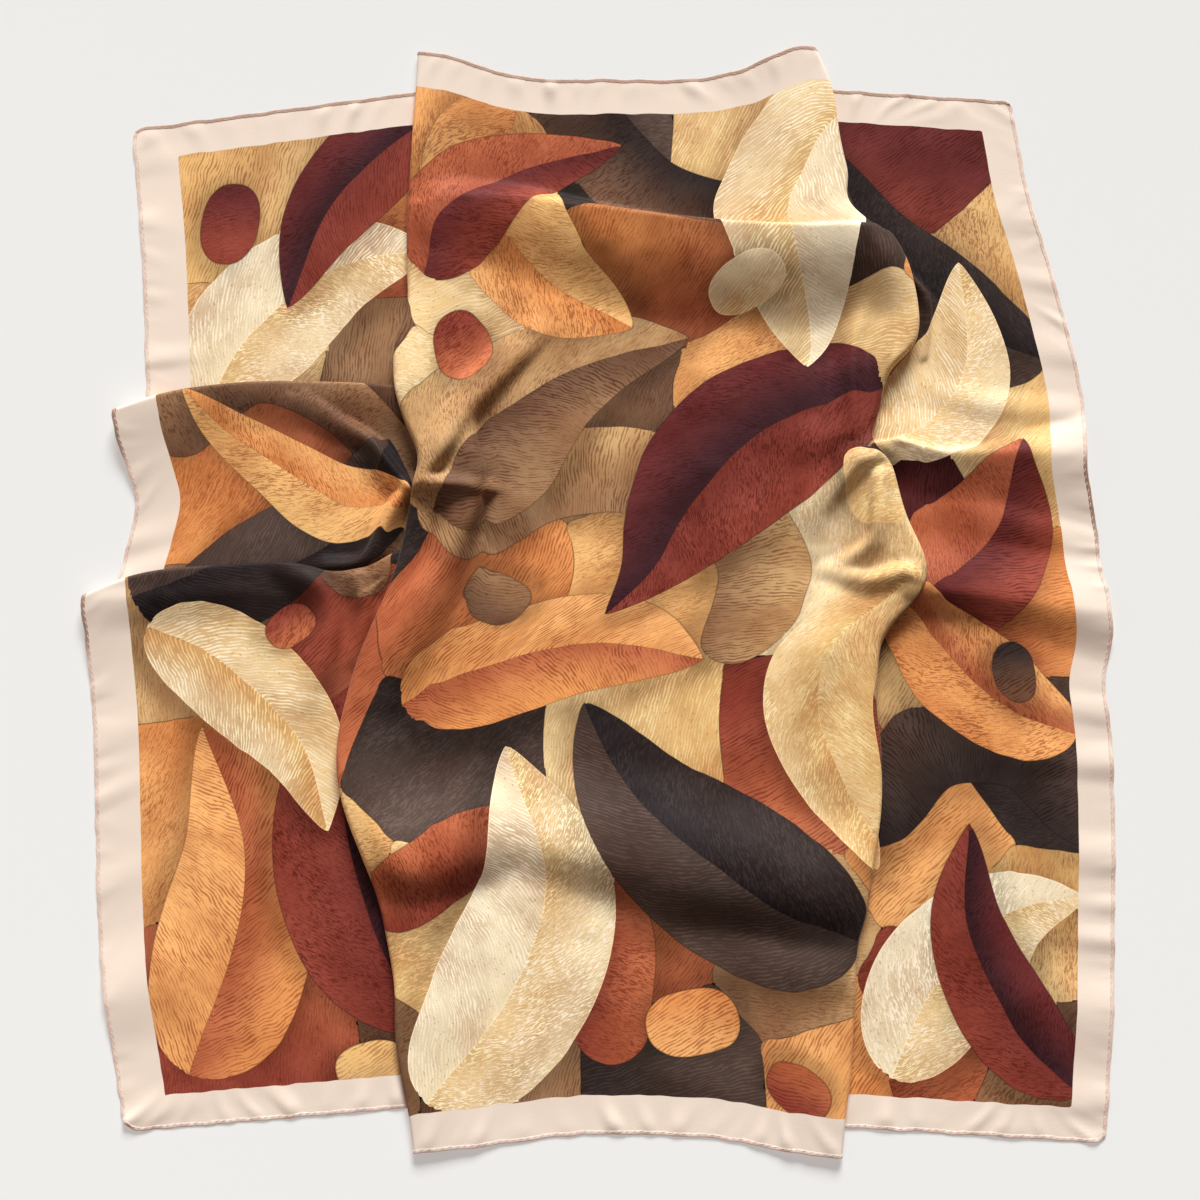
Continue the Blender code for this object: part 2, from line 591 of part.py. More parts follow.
hem("hem_centre_top", "centre", "top", SHELL_PINK, 1.2, 1.2)
hem("hem_centre_bottom", "centre", "bottom", SHELL_PINK, 1.2, 1.2)
hem("hem_left_top", "left_upper", "top", SHELL_PINK, 0.0, 0.0)
hem("hem_left_side_upper", "left_upper", "left", SHELL_PINK, HEM_INSET, 1.0)
hem("hem_left_side_mid", "left_mid", "left", SHELL_PINK, 0.8, 1.0)
hem("hem_left_side_lower", "left_lower", "left", SHELL_PINK, 0.8, HEM_INSET)
hem("hem_left_bottom", "left_lower", "bottom", SHELL_PINK, 0.0, 0.0)
hem("hem_right_top", "right", "top", SHELL_PINK, 0.0, 0.0)
hem("hem_right_side", "right", "right", SHELL_PINK, HEM_INSET, HEM_INSET)
hem("hem_right_bottom", "right", "bottom", SHELL_PINK, 0.0, 0.0)
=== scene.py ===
"""Looks of the silk square: thin cloth over its solids, rolled hem, stitches, print."""
import bpy
import numpy as np
from math import pi, sin, cos, radians
from mathutils import Matrix, Vector


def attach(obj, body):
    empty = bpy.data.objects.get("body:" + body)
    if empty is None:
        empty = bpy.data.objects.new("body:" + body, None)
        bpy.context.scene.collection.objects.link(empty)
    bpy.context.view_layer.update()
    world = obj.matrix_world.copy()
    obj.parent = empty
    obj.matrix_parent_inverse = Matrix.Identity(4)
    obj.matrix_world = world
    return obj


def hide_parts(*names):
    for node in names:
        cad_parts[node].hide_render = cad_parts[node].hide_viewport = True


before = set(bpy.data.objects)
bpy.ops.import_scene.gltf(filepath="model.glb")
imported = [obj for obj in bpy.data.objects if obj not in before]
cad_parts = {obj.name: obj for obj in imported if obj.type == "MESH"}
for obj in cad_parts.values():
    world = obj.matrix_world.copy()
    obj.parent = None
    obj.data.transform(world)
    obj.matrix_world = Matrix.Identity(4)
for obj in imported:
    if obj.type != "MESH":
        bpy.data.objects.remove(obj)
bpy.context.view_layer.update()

MM = 0.001

# ------------------------------------------------------------------ sizes, mm
CUT = 530.0              # side of the square
THIN = 0.22              # drawn thickness of the silk
REST = 0.34              # top of a single layer that lies on the surface
LAYER = 0.55             # room that one hidden layer takes
HEM_WIDE = 2.1
HEM_HIGH = 0.54
HEM_LOW = 0.12            # how far the roll's middle lies under the cloth's edge
HEM_IN = HEM_WIDE / 2    # the cloth runs to the middle of its hem
STITCH = 3.3             # pitch of the hem stitches
STEP = 1.72      # mesh pitch on the cloth
FINE = 0.6       # pitch of the lines that it is read from
PLEAT_SIDE = 17.0        # depth of the two knife pleats
FALL_START, FALL_LONG, FALL_SHORT = 4.0, 50.0, 24.0
MIDDLE = (-0.11, -0.69)  # middle of the footprint in the tables
MID_U = 288.0            # where the centre's own middle lies on the flat square
MID_V, LOW_V = 366.0, 252.0        # where the two knife folds lie on it

# ------------------------------------------- sections, as in the part's source
CENTRE = (
    (-86.5, 263.5, 106.5, 264.4, 4.0, 4.0),
    (-88.0, 241.0, 115.5, 242.0, 4.0, 4.0),
    (-90.0, 206.0, 121.0, 205.5, 4.5, 4.5),
    (-91.0, 181.0, 123.0, 187.5, 5.0, 6.0),
    (-91.0, 157.5, 142.0, 168.5, 6.0, 8.0),
    (-90.5, 136.5, 152.5, 148.0, 7.0, 9.0),
    (-96.0, 116.5, 154.0, 119.5, 8.0, 9.0),
    (-95.5, 97.0, 141.0, 102.0, 9.0, 9.0),
    (-91.0, 80.0, 136.0, 84.5, 9.0, 9.0),
    (-85.0, 63.0, 132.0, 70.0, 10.0, 9.5),
    (-86.5, 46.0, 142.0, 55.5, 10.0, 9.5),
    (-88.5, 30.5, 149.0, 31.5, 9.0, 9.0),
    (-93.0, 10.0, 157.0, 10.0, 8.0, 8.5),
    (-103.5, -15.5, 153.0, -4.0, 8.0, 8.5),
    (-114.0, -41.0, 136.0, -28.0, 8.0, 7.0),
    (-120.0, -75.5, 133.5, -54.0, 7.0, 6.0),
    (-118.5, -101.5, 135.5, -82.0, 6.5, 5.5),
    (-107.5, -128.5, 133.5, -119.5, 6.0, 5.0),
    (-99.5, -150.5, 128.0, -149.5, 5.5, 5.0),
    (-94.5, -175.5, 123.5, -172.5, 5.0, 4.5),
    (-90.5, -210.0, 120.5, -218.0, 4.5, 4.5),
    (-86.0, -240.0, 118.0, -241.5, 4.1, 4.1),
    (-82.5, -264.5, 115.5, -265.5, 3.1, 3.1),
)
RIGHT = (
    (112.0, 244.5, 201.5, 238.0), (117.0, 219.0, 205.7, 213.0),
    (120.5, 189.0, 210.0, 188.5), (139.5, 166.5, 217.0, 163.5),
    (149.0, 144.0, 223.0, 140.5), (150.5, 119.5, 228.0, 119.5),
    (136.5, 102.5, 232.0, 101.0), (132.5, 88.0, 234.0, 84.5),
    (130.5, 71.0, 234.0, 68.5), (138.5, 56.5, 234.0, 56.0),
    (145.5, 32.0, 238.0, 32.0), (153.0, 10.5, 240.4, 9.0),
    (149.0, -4.5, 242.8, -2.5), (133.5, -27.5, 244.5, -25.0),
    (130.5, -53.5, 241.0, -44.0), (132.5, -82.0, 243.5, -72.5),
    (130.5, -119.5, 244.0, -114.5), (125.5, -149.5, 243.0, -153.5),
    (119.5, -196.0, 241.5, -196.0), (115.8, -229.5, 238.5, -236.0),
    (114.5, -251.5, 236.5, -258.0),
)
LEFT_UPPER = (
    (-226.9, 226.2, -84.0, 244.8), (-224.4, 202.8, -86.0, 219.8),
    (-220.4, 165.0, -87.5, 174.0), (-217.9, 124.0, -91.0, 129.0),
    (-215.9, 87.5, -92.5, 93.0),
)
LEFT_MID = (
    (-232.0, 86.0, -91.5, 97.5), (-229.0, 71.0, -88.0, 80.5),
    (-224.0, 57.0, -82.5, 64.0), (-220.0, 42.0, -84.0, 46.0),
    (-223.0, 23.0, -89.0, 26.5), (-228.5, -1.5, -93.5, 14.0),
)
LEFT_LOWER = (
    (-244.7, -3.8, -92.5, 18.0), (-241.3, -30.0, -104.5, -24.0),
    (-237.3, -66.5, -117.0, -66.0), (-234.8, -115.5, -111.0, -111.0),
    (-232.6, -156.0, -96.0, -152.0), (-228.8, -190.0, -89.5, -194.0),
    (-221.0, -234.5, -84.5, -222.5), (-217.0, -255.5, -82.0, -243.5),
)
CENTRE_TOP = ((0.0, 0.0), (0.05, -1.0), (0.20, -9.4), (0.31, -13.2),
              (0.45, -13.6), (0.56, -14.1), (0.66, -14.4), (0.80, -10.6),
              (0.97, 0.5), (1.0, 0.0))
CENTRE_BOTTOM = ((0.0, 0.0), (0.19, 4.2), (0.28, 6.8), (0.36, 8.8),
                 (0.45, 9.7), (0.53, 9.7), (0.62, 9.2), (0.71, 8.2),
                 (0.89, 2.2), (1.0, 0.0))
UPPER_BOTTOM = ((0.0, 0.0), (0.34, 6.3), (0.75, 4.5), (1.0, 0.0))
MID_TOP = ((0.0, 0.0), (0.18, 5.9), (0.41, 8.2), (0.77, 4.6), (1.0, 0.0))
MID_BOTTOM = ((0.0, 0.0), (0.37, 2.6), (0.65, -0.6), (0.78, -5.0),
              (0.88, -5.0), (1.0, 0.0))
LOWER_TOP = ((0.0, 0.0), (0.15, 5.5), (0.43, 5.0), (0.68, 0.0),
             (0.80, -6.0), (0.89, -6.0), (1.0, 0.0))
FLAT_LINE = ((0.0, 0.0), (1.0, 0.0))
BOW_REACH = 45.0

# --------------------------------------------------------- creases and ridges
# panels, points of the crest, heights, reach to its left and right, lean of
# the crest to its left (minus to its right): a leaning ridge has one steep or
# overhanging side.
CREASES = (
    ("centre", ((-75, 188), (-41, 188), (2, 182), (51, 175), (94, 172), (134, 171)),
     (4, 8, 12, 16, 16.5, 12), (15, 12.5, 10, 9, 9, 9), (26, 36, 42, 45, 46, 40), (0, 1.5, 3.5, 4.5, 4.5, 3), (0, 2.3)),
    ("centre", ((-22, 130), (-44, 106), (-58, 88), (-70, 68), (-84, 50)),
     (0.5, 6, 9, 10, 8.5), (9, 8.5, 8, 7.5, 6), (15, 14, 13, 12, 10), (0, 0.3, 0.5, 0.5, 0), (3.0, 2.0)),
    ("centre", ((-60, 88), (-58, 70), (-54, 56), (-55, 40), (-63, 22), (-73, 2), (-86, -22), (-99, -48)),
     (4, 8, 9, 8.5, 8, 6.5, 4, 1.5), (5, 4.5, 4.5, 5, 8, 13, 15, 16), (12, 18, 22, 18, 14, 14, 18, 20),
     (0.5, 1, 1.5, 1.5, 0.5, 0, 0, 0), (2.6, 2.2)),
    ("centre", ((-86, 47.5), (-74, 47.5), (-62, 46.5), (-53, 45.5)),
     (8, 8.5, 9, 8), (8, 9, 10, 9), (4, 4.5, 5, 5), (0, -0.5, -0.5, 0), (0, 2.4)),
    ("centre", ((-120, -118), (-100, -128), (-80, -130), (-62, -125), (-44, -117), (-24, -111)),
     (5, 8, 9, 8.5, 6, 1.5), (48, 46, 44, 42, 40, 36), (20, 21, 22, 22, 22, 20), 0, (0, 2.2)),
    ("centre", ((-46, -117), (-16, -121), (13, -126), (41, -133), (69, -138), (97, -144), (130, -149)),
     (1.5, 6, 9.5, 11, 10.5, 8, 5), (40, 46, 48, 48, 46, 42, 38), (20, 22, 25, 28, 28, 26, 24), 0, (0, 2.2)),
    ("centre", ((66, -172), (90, -180), (118, -184)), (0.6, 1.8, 1.2), 16, 14, 0),
    ("centre", ((128, 134), (124, 121), (123, 102), (124, 74)),
     (2, 3.5, 3.5, 2), (8, 7, 6, 6), (9, 9, 8, 7), (0, -1, -1, 0)),
    ("centre", ((142, 68), (125, 58), (115, 46), (108, 35), (107, 20)),
     (7, 6.5, 6, 4, 1), (9, 9, 9, 10, 10), (12, 12, 12, 12, 12), (0.5, 1, 1.5, 1, 0)),
    ("centre", ((136, 52), (134, 34), (130, 20), (117, 10)),
     (5, 5, 4.5, 2), (8, 8, 8, 8), (7, 6, 6, 7), (0, -1.2, -1.2, 0)),
    ("centre", ((112, 8), (130, 3), (147, 6), (158, -1)),
     (2, 4.5, 5, 5), (8, 8, 8, 8), (9, 8, 8, 8), (0, 1.5, 1, 0)),
    ("centre", ((112, -8), (104, -40), (98, -70)), (2, 3, 0.5), 14, 16, 0),
    ("right", ((144, 69), (164, 64), (186, 63.5), (216, 63), (246, 62.5)),
     (8, 7.5, 6.8, 6.2, 5.9), (5, 6, 9, 20, 34), (20, 21, 26, 34, 40), (2, 3, 2, 1, 0), (0, 1.35)),
    ("right", ((150, 1), (173, -3), (201, -6), (232, -11.5), (250, -14)),
     (6, 6.5, 6.2, 5.6, 5.0), (27, 28, 30, 33, 34), (17, 17, 19, 23, 25), (0, -1, -0.8, 0, 0), (1.5, 1.6)),
    ("right", ((151, 152), (160, 138), (158, 112)), (3.5, 4, 1.5), (3, 3.5, 4), (6, 5, 5), 1.0),
    ("right", ((158, 96), (188, 88), (226, 84)), (0.5, 1.6, 1.2), 11, 10, 0),
    ("right", ((168, 40), (200, 30), (232, 20)), (0.4, 1.4, 1.0), 14, 14, 0),
    ("left_mid", ((-140, 90), (-124, 80), (-108, 71), (-97, 58), (-88, 47)),
     (1.0, 4, 7.5, 9, 8.5), (7, 7, 6.5, 6, 5), (12, 10, 8, 7, 6), (0, 1, 1.5, 1, 0), (2.2, 2.0)),
    ("left_mid", ((-88, 48), (-95, 38), (-100, 27), (-103, 16), (-108, 6)),
     (8.5, 8, 6.5, 5, 3), (7, 7, 7, 7, 7), (8, 8, 9, 9, 9), (0, -1, -1.5, -1, 0), (2.0, 2.2)),
    ("left_mid", ((-128, 10), (-112, 12), (-104, 22), (-98, 34)),
     (3.5, 5, 5, 3), (7, 6, 5.5, 5), (6, 6, 6, 5), (0.5, 1.5, 1.5, 0)),
    ("left_mid", ((-120, 66), (-104, 60), (-90, 50)), (0.8, 3, 5), 5, 5, 0),
    ("left_lower", ((-148, 10), (-128, -4), (-125, -26), (-134, -52)),
     (2.5, 4.5, 4.5, 1), (12, 9, 9, 12), (10, 11, 13, 14), (0, 1, 1, 0)),
    ("left_lower", ((-112, 4), (-108, -12), (-112, -34)), (3, 4.5, 1.5), 6, 8, 0),
    ("left_lower", ((-240, -8), (-205, -6), (-160, -3)), (0.6, 1.4, 0.8), 8, 16, 0),
)
# hems that stand up a little: panel, side, where it starts and ends along it, lift
LIFTS = (
    ("left_upper", "left", 40, 80, 0.5), ("right", "bottom", 40, 80, 0.9),
    ("left_lower", "bottom", 40, 75, 0.7),
)
# soft ripples that run in from a hem: panel, side, place along it, height,
# reach before and after the crest, reach inwards
RIPPLES = (
    ("right", "right", 61, 0.8, 14, 12, 26), ("right", "right", 92, 0.6, 8, 8, 22),
    ("right", "right", 129, 0.8, 14, 10, 24), ("right", "right", 168, 0.3, 8, 6, 18),
    ("right", "right", 301, 1.15, 10, 10, 30), ("right", "right", 327, 1.6, 13, 10, 32),
    ("right", "right", 370, 1.4, 14, 13, 34), ("right", "right", 392, 0.5, 6, 6, 20),
    ("right", "right", 408, 1.1, 8, 8, 26), ("right", "right", 442, 2.3, 22, 27, 40),
    ("right", "right", 484, 1.1, 14, 8, 26),
    ("right", "right", 224, 0.7, 3.5, 2.5, 9), ("right", "right", 233, 0.7, 3.5, 2.5, 9),
    ("right", "right", 243, 0.5, 3, 2.5, 7),
    ("left_lower", "left", 73, 0.6, 12, 11, 26), ("left_lower", "left", 99, 0.7, 8, 8, 22),
    ("left_lower", "left", 140, 0.65, 13, 14, 28), ("left_lower", "left", 193, 2.6, 32, 30, 44),
    ("left_lower", "left", 251, 1.2, 14, 8, 30),
    ("left_upper", "left", 18, 0.4, 10, 9, 22), ("left_upper", "left", 52, 0.3, 12, 12, 22),
    ("left_upper", "left", 117, 0.9, 9, 6, 24),
    ("left_mid", "left", 68, 0.5, 10, 7, 22), ("left_mid", "left", 88, 1.4, 14, 8, 30),
)


# --------------------------------------------------------------- line helpers
def through(values, u):
    """Catmull-Rom curve through the rows of a table, u from 0 to 1."""
    v = np.asarray(values, float)
    if v.ndim == 1:
        v = v[:, None]
    n = len(v)
    u = np.clip(np.asarray(u, float), 0.0, 1.0) * (n - 1)
    i = np.minimum(u.astype(int), n - 2)
    f = (u - i)[..., None]
    p1, p2 = v[i], v[i + 1]
    p0 = np.where((i > 0)[..., None], v[np.maximum(i - 1, 0)], 2 * p1 - p2)
    p3 = np.where((i + 2 < n)[..., None], v[np.minimum(i + 2, n - 1)], 2 * p2 - p1)
    m1, m2 = (p2 - p0) / 2, (p3 - p1) / 2
    f2, f3 = f * f, f * f * f
    return ((2 * f3 - 3 * f2 + 1) * p1 + (f3 - 2 * f2 + f) * m1
            + (3 * f2 - 2 * f3) * p2 + (f3 - f2) * m2)


def smooth(x):
    x = np.clip(x, 0.0, 1.0)
    return x * x * (3 - 2 * x)


def bow(table, s):
    a = np.asarray(table, float)
    s = np.clip(np.asarray(s, float), 0.0, 1.0)
    i = np.clip(np.searchsorted(a[:, 0], s, side="right") - 1, 0, len(a) - 2)
    x0, x1 = a[i, 0], a[i + 1, 0]
    slope = np.gradient(a[:, 1], a[:, 0])
    h = x1 - x0
    f = (s - x0) / h
    f2, f3 = f * f, f * f * f
    return ((2 * f3 - 3 * f2 + 1) * a[i, 1] + (f3 - 2 * f2 + f) * h * slope[i]
            + (3 * f2 - 2 * f3) * a[i + 1, 1] + (f3 - f2) * h * slope[i + 1])


def fall(d, reach):
    return np.cos(pi / 2 * np.clip((d - FALL_START) / reach, 0, 1)) ** 2


def long_fall(d, reach, power=1.3):
    """Steep next to the fold and ever flatter away from it."""
    return (1 - np.clip((d - 1.5) / reach, 0, 1) ** power) ** 2


def ripple(seed, x, longest, shortest, waves=9):
    """Smooth uneven line, about -1 to 1, the same on each run."""
    rng = np.random.default_rng(seed)
    lam = np.exp(rng.uniform(np.log(shortest), np.log(longest), waves))
    ph = rng.uniform(0, 2 * pi, waves)
    am = rng.uniform(0.5, 1.0, waves)
    out = np.zeros(np.shape(x))
    for a, l, p in zip(am, lam, ph):
        out = out + a * np.sin(2 * pi * x / l + p)
    return out / np.sqrt((am ** 2).sum() / 2) / 2.0


def waves(seed, x, y, longest, shortest, count=12, along=None, spread=pi):
    """Soft uneven hills over the plan, about -1 to 1."""
    rng = np.random.default_rng(seed)
    out = np.zeros(np.shape(x))
    for _ in range(count):
        l = np.exp(rng.uniform(np.log(shortest), np.log(longest)))
        a = rng.uniform(0, pi) if along is None else along + rng.uniform(-spread, spread)
        out = out + np.sin(2 * pi * (x * cos(a) + y * sin(a)) / l + rng.uniform(0, 2 * pi))
    return out / np.sqrt(count / 2) / 2.0


class Panel:
    """A stretch of cloth between a left and a right line, in the tables' mm."""

    def __init__(self, name, rows, top, bottom):
        self.name = name
        self.rows = np.asarray(rows, float)
        self.top, self.bottom = top, bottom
        mid = (self.rows[:, :2] + self.rows[:, 2:4]) / 2
        step = np.concatenate(([0], np.cumsum(np.linalg.norm(np.diff(mid, axis=0), axis=1))))
        self.length = float(step[-1])
        self.width = float(np.mean(self.rows[:, 2] - self.rows[:, 0]))
        self.share = step / step[-1]
        self.index = np.linspace(0, 1, len(self.rows))

    def row(self, t):
        t = np.asarray(t, float)
        inside = through(self.rows, np.interp(t, self.share, self.index))
        over = np.maximum(t - 1, 0)[..., None]
        end = through(self.rows, np.array([1.0, 0.985]))
        return inside + (end[0] - end[1]) / 0.015 * over

    def wide(self, t):
        r = self.row(t)
        return np.hypot(r[..., 2] - r[..., 0], r[..., 3] - r[..., 1])

    def plan(self, s, t):
        s, t = np.broadcast_arrays(np.asarray(s, float), np.asarray(t, float))
        r = self.row(t)
        x = r[..., 0] + (r[..., 2] - r[..., 0]) * s
        y = r[..., 1] + (r[..., 3] - r[..., 1]) * s
        y = y + bow(self.top, s) * (1 - smooth(t * self.length / BOW_REACH))
        y = y + bow(self.bottom, s) * (1 - smooth((1 - t) * self.length / BOW_REACH))
        return x, y


PANELS = {
    "centre": Panel("centre", CENTRE, CENTRE_TOP, CENTRE_BOTTOM),
    "right": Panel("right", RIGHT, FLAT_LINE, FLAT_LINE),
    "left_upper": Panel("left_upper", LEFT_UPPER, FLAT_LINE, UPPER_BOTTOM),
    "left_mid": Panel("left_mid", LEFT_MID, MID_TOP, MID_BOTTOM),
    "left_lower": Panel("left_lower", LEFT_LOWER, LOWER_TOP, FLAT_LINE),
}


def along_table(value, u):
    return through(value, u)[:, 0] if hasattr(value, "__len__") else np.full(u.shape, float(value))


def crease(name, x, y):
    """Rise and sideways shift that the creases of a panel give a plan point."""
    shape = x.shape
    x, y = x.ravel(), y.ravel()
    total = np.zeros(x.shape)
    sx, sy = np.zeros(x.shape), np.zeros(x.shape)
    for panel, points, heights, left, right, lean, *full in CREASES:
        full_l, full_r = full[0] if full else (0, 0)
        if panel != name:
            continue
        u = np.linspace(0, 1, 90)
        path = through(points, u)
        tall, wl, wr, ln = (along_table(v, u) for v in (heights, left, right, lean))
        tall = np.maximum(tall, 0)
        away = np.gradient(path, axis=0)
        away /= np.linalg.norm(away, axis=1)[:, None]
        norm = np.stack([-away[:, 1], away[:, 0]], axis=1)
        path = path - norm * ln[:, None]
        far = max(wl.max(), wr.max()) + 1
        near = ((x > path[:, 0].min() - far) & (x < path[:, 0].max() + far)
                & (y > path[:, 1].min() - far) & (y < path[:, 1].max() + far))
        if not near.any():
            continue
        px, py = x[near], y[near]
        k = np.empty(px.shape, int)
        for i in range(0, len(px), 20000):
            a = px[i:i + 20000, None] - path[:, 0]
            b = py[i:i + 20000, None] - path[:, 1]
            k[i:i + 20000] = np.argmin(a * a + b * b, axis=1)
        ddx, ddy = px - path[k, 0], py - path[k, 1]
        # read the place along the crest between its points too
        f = ddx * away[k, 0] + ddy * away[k, 1]
        gap = np.linalg.norm(path[1] - path[0])
        g = np.clip(k + f / gap, 0, len(u) - 1)
        read = lambda v: np.interp(g, np.arange(len(u)), v)
        side = away[k, 0] * ddy - away[k, 1] * ddx
        d = np.hypot(side, np.where((k == 0) & (f < 0) | (k == len(u) - 1) & (f > 0), f, 0))
        blend = smooth(side / 3.0 + 0.5)
        reach = read(wr) * (1 - blend) + read(wl) * blend
        part = np.clip(d / reach, 0, 1)
        soft = np.cos(pi / 2 * part) ** 2
        plump = lambda f: (1 - part ** f) ** 2 if f else soft
        q = plump(full_r) * (1 - blend) + plump(full_l) * blend
        h = read(tall) * q
        c = h ** 3
        nx, ny = np.interp(g, np.arange(len(u)), norm[:, 0]), np.interp(g, np.arange(len(u)), norm[:, 1])
        total[near] += c
        sx[near] += c * read(ln) * q ** 0.8 * nx
        sy[near] += c * read(ln) * q ** 0.8 * ny
    safe = np.maximum(total, 1e-9)
    return (np.cbrt(total).reshape(shape), (sx / safe).reshape(shape), (sy / safe).reshape(shape))


def lifted(name, side, along):
    out = np.zeros(np.shape(along))
    for panel, edge, a, b, high in LIFTS:
        if panel == name and edge == side:
            out = out + high * smooth((along - a) / 12 + 0.5) * smooth((b - along) / 12 + 0.5)
    return out


def rippled(name, side, along, d):
    out = np.zeros(np.broadcast(along, d).shape)
    for panel, edge, at, high, before, after, depth in RIPPLES:
        if panel == name and edge == side:
            off = along - at
            part = np.clip(np.abs(off) / np.where(off < 0, before, after), 0, 1)
            out = out + high * np.cos(pi / 2 * part) ** 2 * np.exp(-(d / depth) ** 2)
    return out


PUCKER = {"left": 11, "right": 23, "top": 37, "bottom": 41}


def hem_form(name, side, along, d):
    """Puckers and lifts that a hem gives the cloth, and its sideways wander."""
    seed = PUCKER[side] + len(name)
    slant = 1.1 * ripple(seed + 7, along, 170, 70, 4)
    p = ripple(seed, along + slant * d, 26, 11, 10)
    fine = ripple(seed + 3, along, 8.5, 5.0, 8)
    much = np.clip(0.62 + 0.45 * ripple(seed + 5, along, 120, 40, 5), 0.2, 1.2)
    # they stand highest a little inside the hem, which itself stays down
    low = 0.30 + 0.70 * smooth(d / 6.0) if side in ("top", "bottom") else 0.36 + 0.24 * smooth(d / 5.0)
    tall, deep = (1.75, 12.0) if side in ("top", "bottom") else (1.0, 9.5)
    up = much * low * (tall * np.maximum(p + 0.15, 0) * np.exp(-(d / deep) ** 2)
                       + 0.20 * np.maximum(fine + 0.3, 0) * np.exp(-(d / 6.0) ** 2))
    up = up + 0.08 * np.exp(-(d / 5.0) ** 2)
    up = up + lifted(name, side, along) * np.exp(-(np.maximum(d - 1, 0) / 8.5) ** 1.6)
    up = up + rippled(name, side, along, d)
    wander = 0.28 * ripple(seed + 9, along, 34, 9, 8) * np.exp(-d / 16.0)
    return up, wander


# ------------------------------------------------------------ cloth surfaces
def lengths(P):
    """Distance along each column of a grid of points."""
    step = np.linalg.norm(np.diff(P, axis=0), axis=2)
    return np.concatenate((np.zeros((1, P.shape[1])), np.cumsum(step, axis=0)))


def reread(values, dist, wanted):
    """values (K, C, n) known at dist (K, C), read again at wanted (R, C)."""
    out = np.empty((wanted.shape[0],) + values.shape[1:])
    for c in range(values.shape[1]):
        for n in range(values.shape[2]):
            out[:, c, n] = np.interp(wanted[:, c], dist[:, c], values[:, c, n])
    return out


def even(count, crowd=None):
    """count shares from 0 to 1, closer together where crowd(share) is large."""
    q = np.linspace(0, 1, 2001)
    w = np.ones(q.shape) if crowd is None else crowd(q)
    c = np.concatenate(([0], np.cumsum((w[1:] + w[:-1]) / 2)))
    return np.interp(np.linspace(0, c[-1], count), c, q)


def soft_cloth(name, x, y, much, longest=70, shortest=24):
    """Small soft hills that no cloth is without, never below the surface."""
    w = waves(71 + len(name), x, y, longest, shortest, 14)
    v = waves(97 + len(name), x, y, 26, 12, 10)
    return much * (np.clip(w + 0.25, 0, None) + 0.22 * np.clip(v + 0.1, 0, None))


def fan(x, y, cx, cy, angle, spread, seed, high, reach):
    """Fine gathers that run out from a pinch."""
    dx, dy = x - cx, y - cy
    r = np.hypot(dx, dy)
    a = np.arctan2(dy, dx)
    off = (a - angle + pi) % (2 * pi) - pi
    rays = ripple(seed, off * 57.3, 70, 28, 6)
    return (high * np.clip(rays, -0.15, None) * smooth(r / 7) * np.exp(-(r / reach) ** 1.4)
            * np.exp(-(off / spread) ** 2))


class Raster:
    """Tallest cloth under each millimetre of the plan."""

    def __init__(self):
        self.x0, self.y0 = -262, -282
        self.g = np.zeros((564, 524))

    def add(self, P):
        i = np.clip(np.rint(P[..., 1] - self.y0).astype(int), 0, 563)
        j = np.clip(np.rint(P[..., 0] - self.x0).astype(int), 0, 523)
        np.maximum.at(self.g, (i.ravel(), j.ravel()), P[..., 2].ravel())

    def settle(self):
        g = self.g
        for _ in range(3):
            p = np.pad(g, 1, mode="edge")
            g = np.max([p[a:a + g.shape[0], b:b + g.shape[1]]
                        for a in range(3) for b in range(3)], axis=0)
        for _ in range(4):
            p = np.pad(g, 1, mode="edge")
            g = np.mean([p[a:a + g.shape[0], b:b + g.shape[1]]
                         for a in range(3) for b in range(3)], axis=0)
        self.soft = g

    def read(self, x, y):
        j = np.clip(x - self.x0, 0, 521.999)
        i = np.clip(y - self.y0, 0, 561.999)
        i0, j0 = i.astype(int), j.astype(int)
        fi, fj = i - i0, j - j0
        g = self.soft
        return ((g[i0, j0] * (1 - fj) + g[i0, j0 + 1] * fj) * (1 - fi)
                + (g[i0 + 1, j0] * (1 - fj) + g[i0 + 1, j0 + 1] * fj) * fi)


UNDER = Raster()
PINCH_L, PINCH_R, TIP_R = (-87.0, 47.0), (132.0, 70.0), (156.0, -3.0)


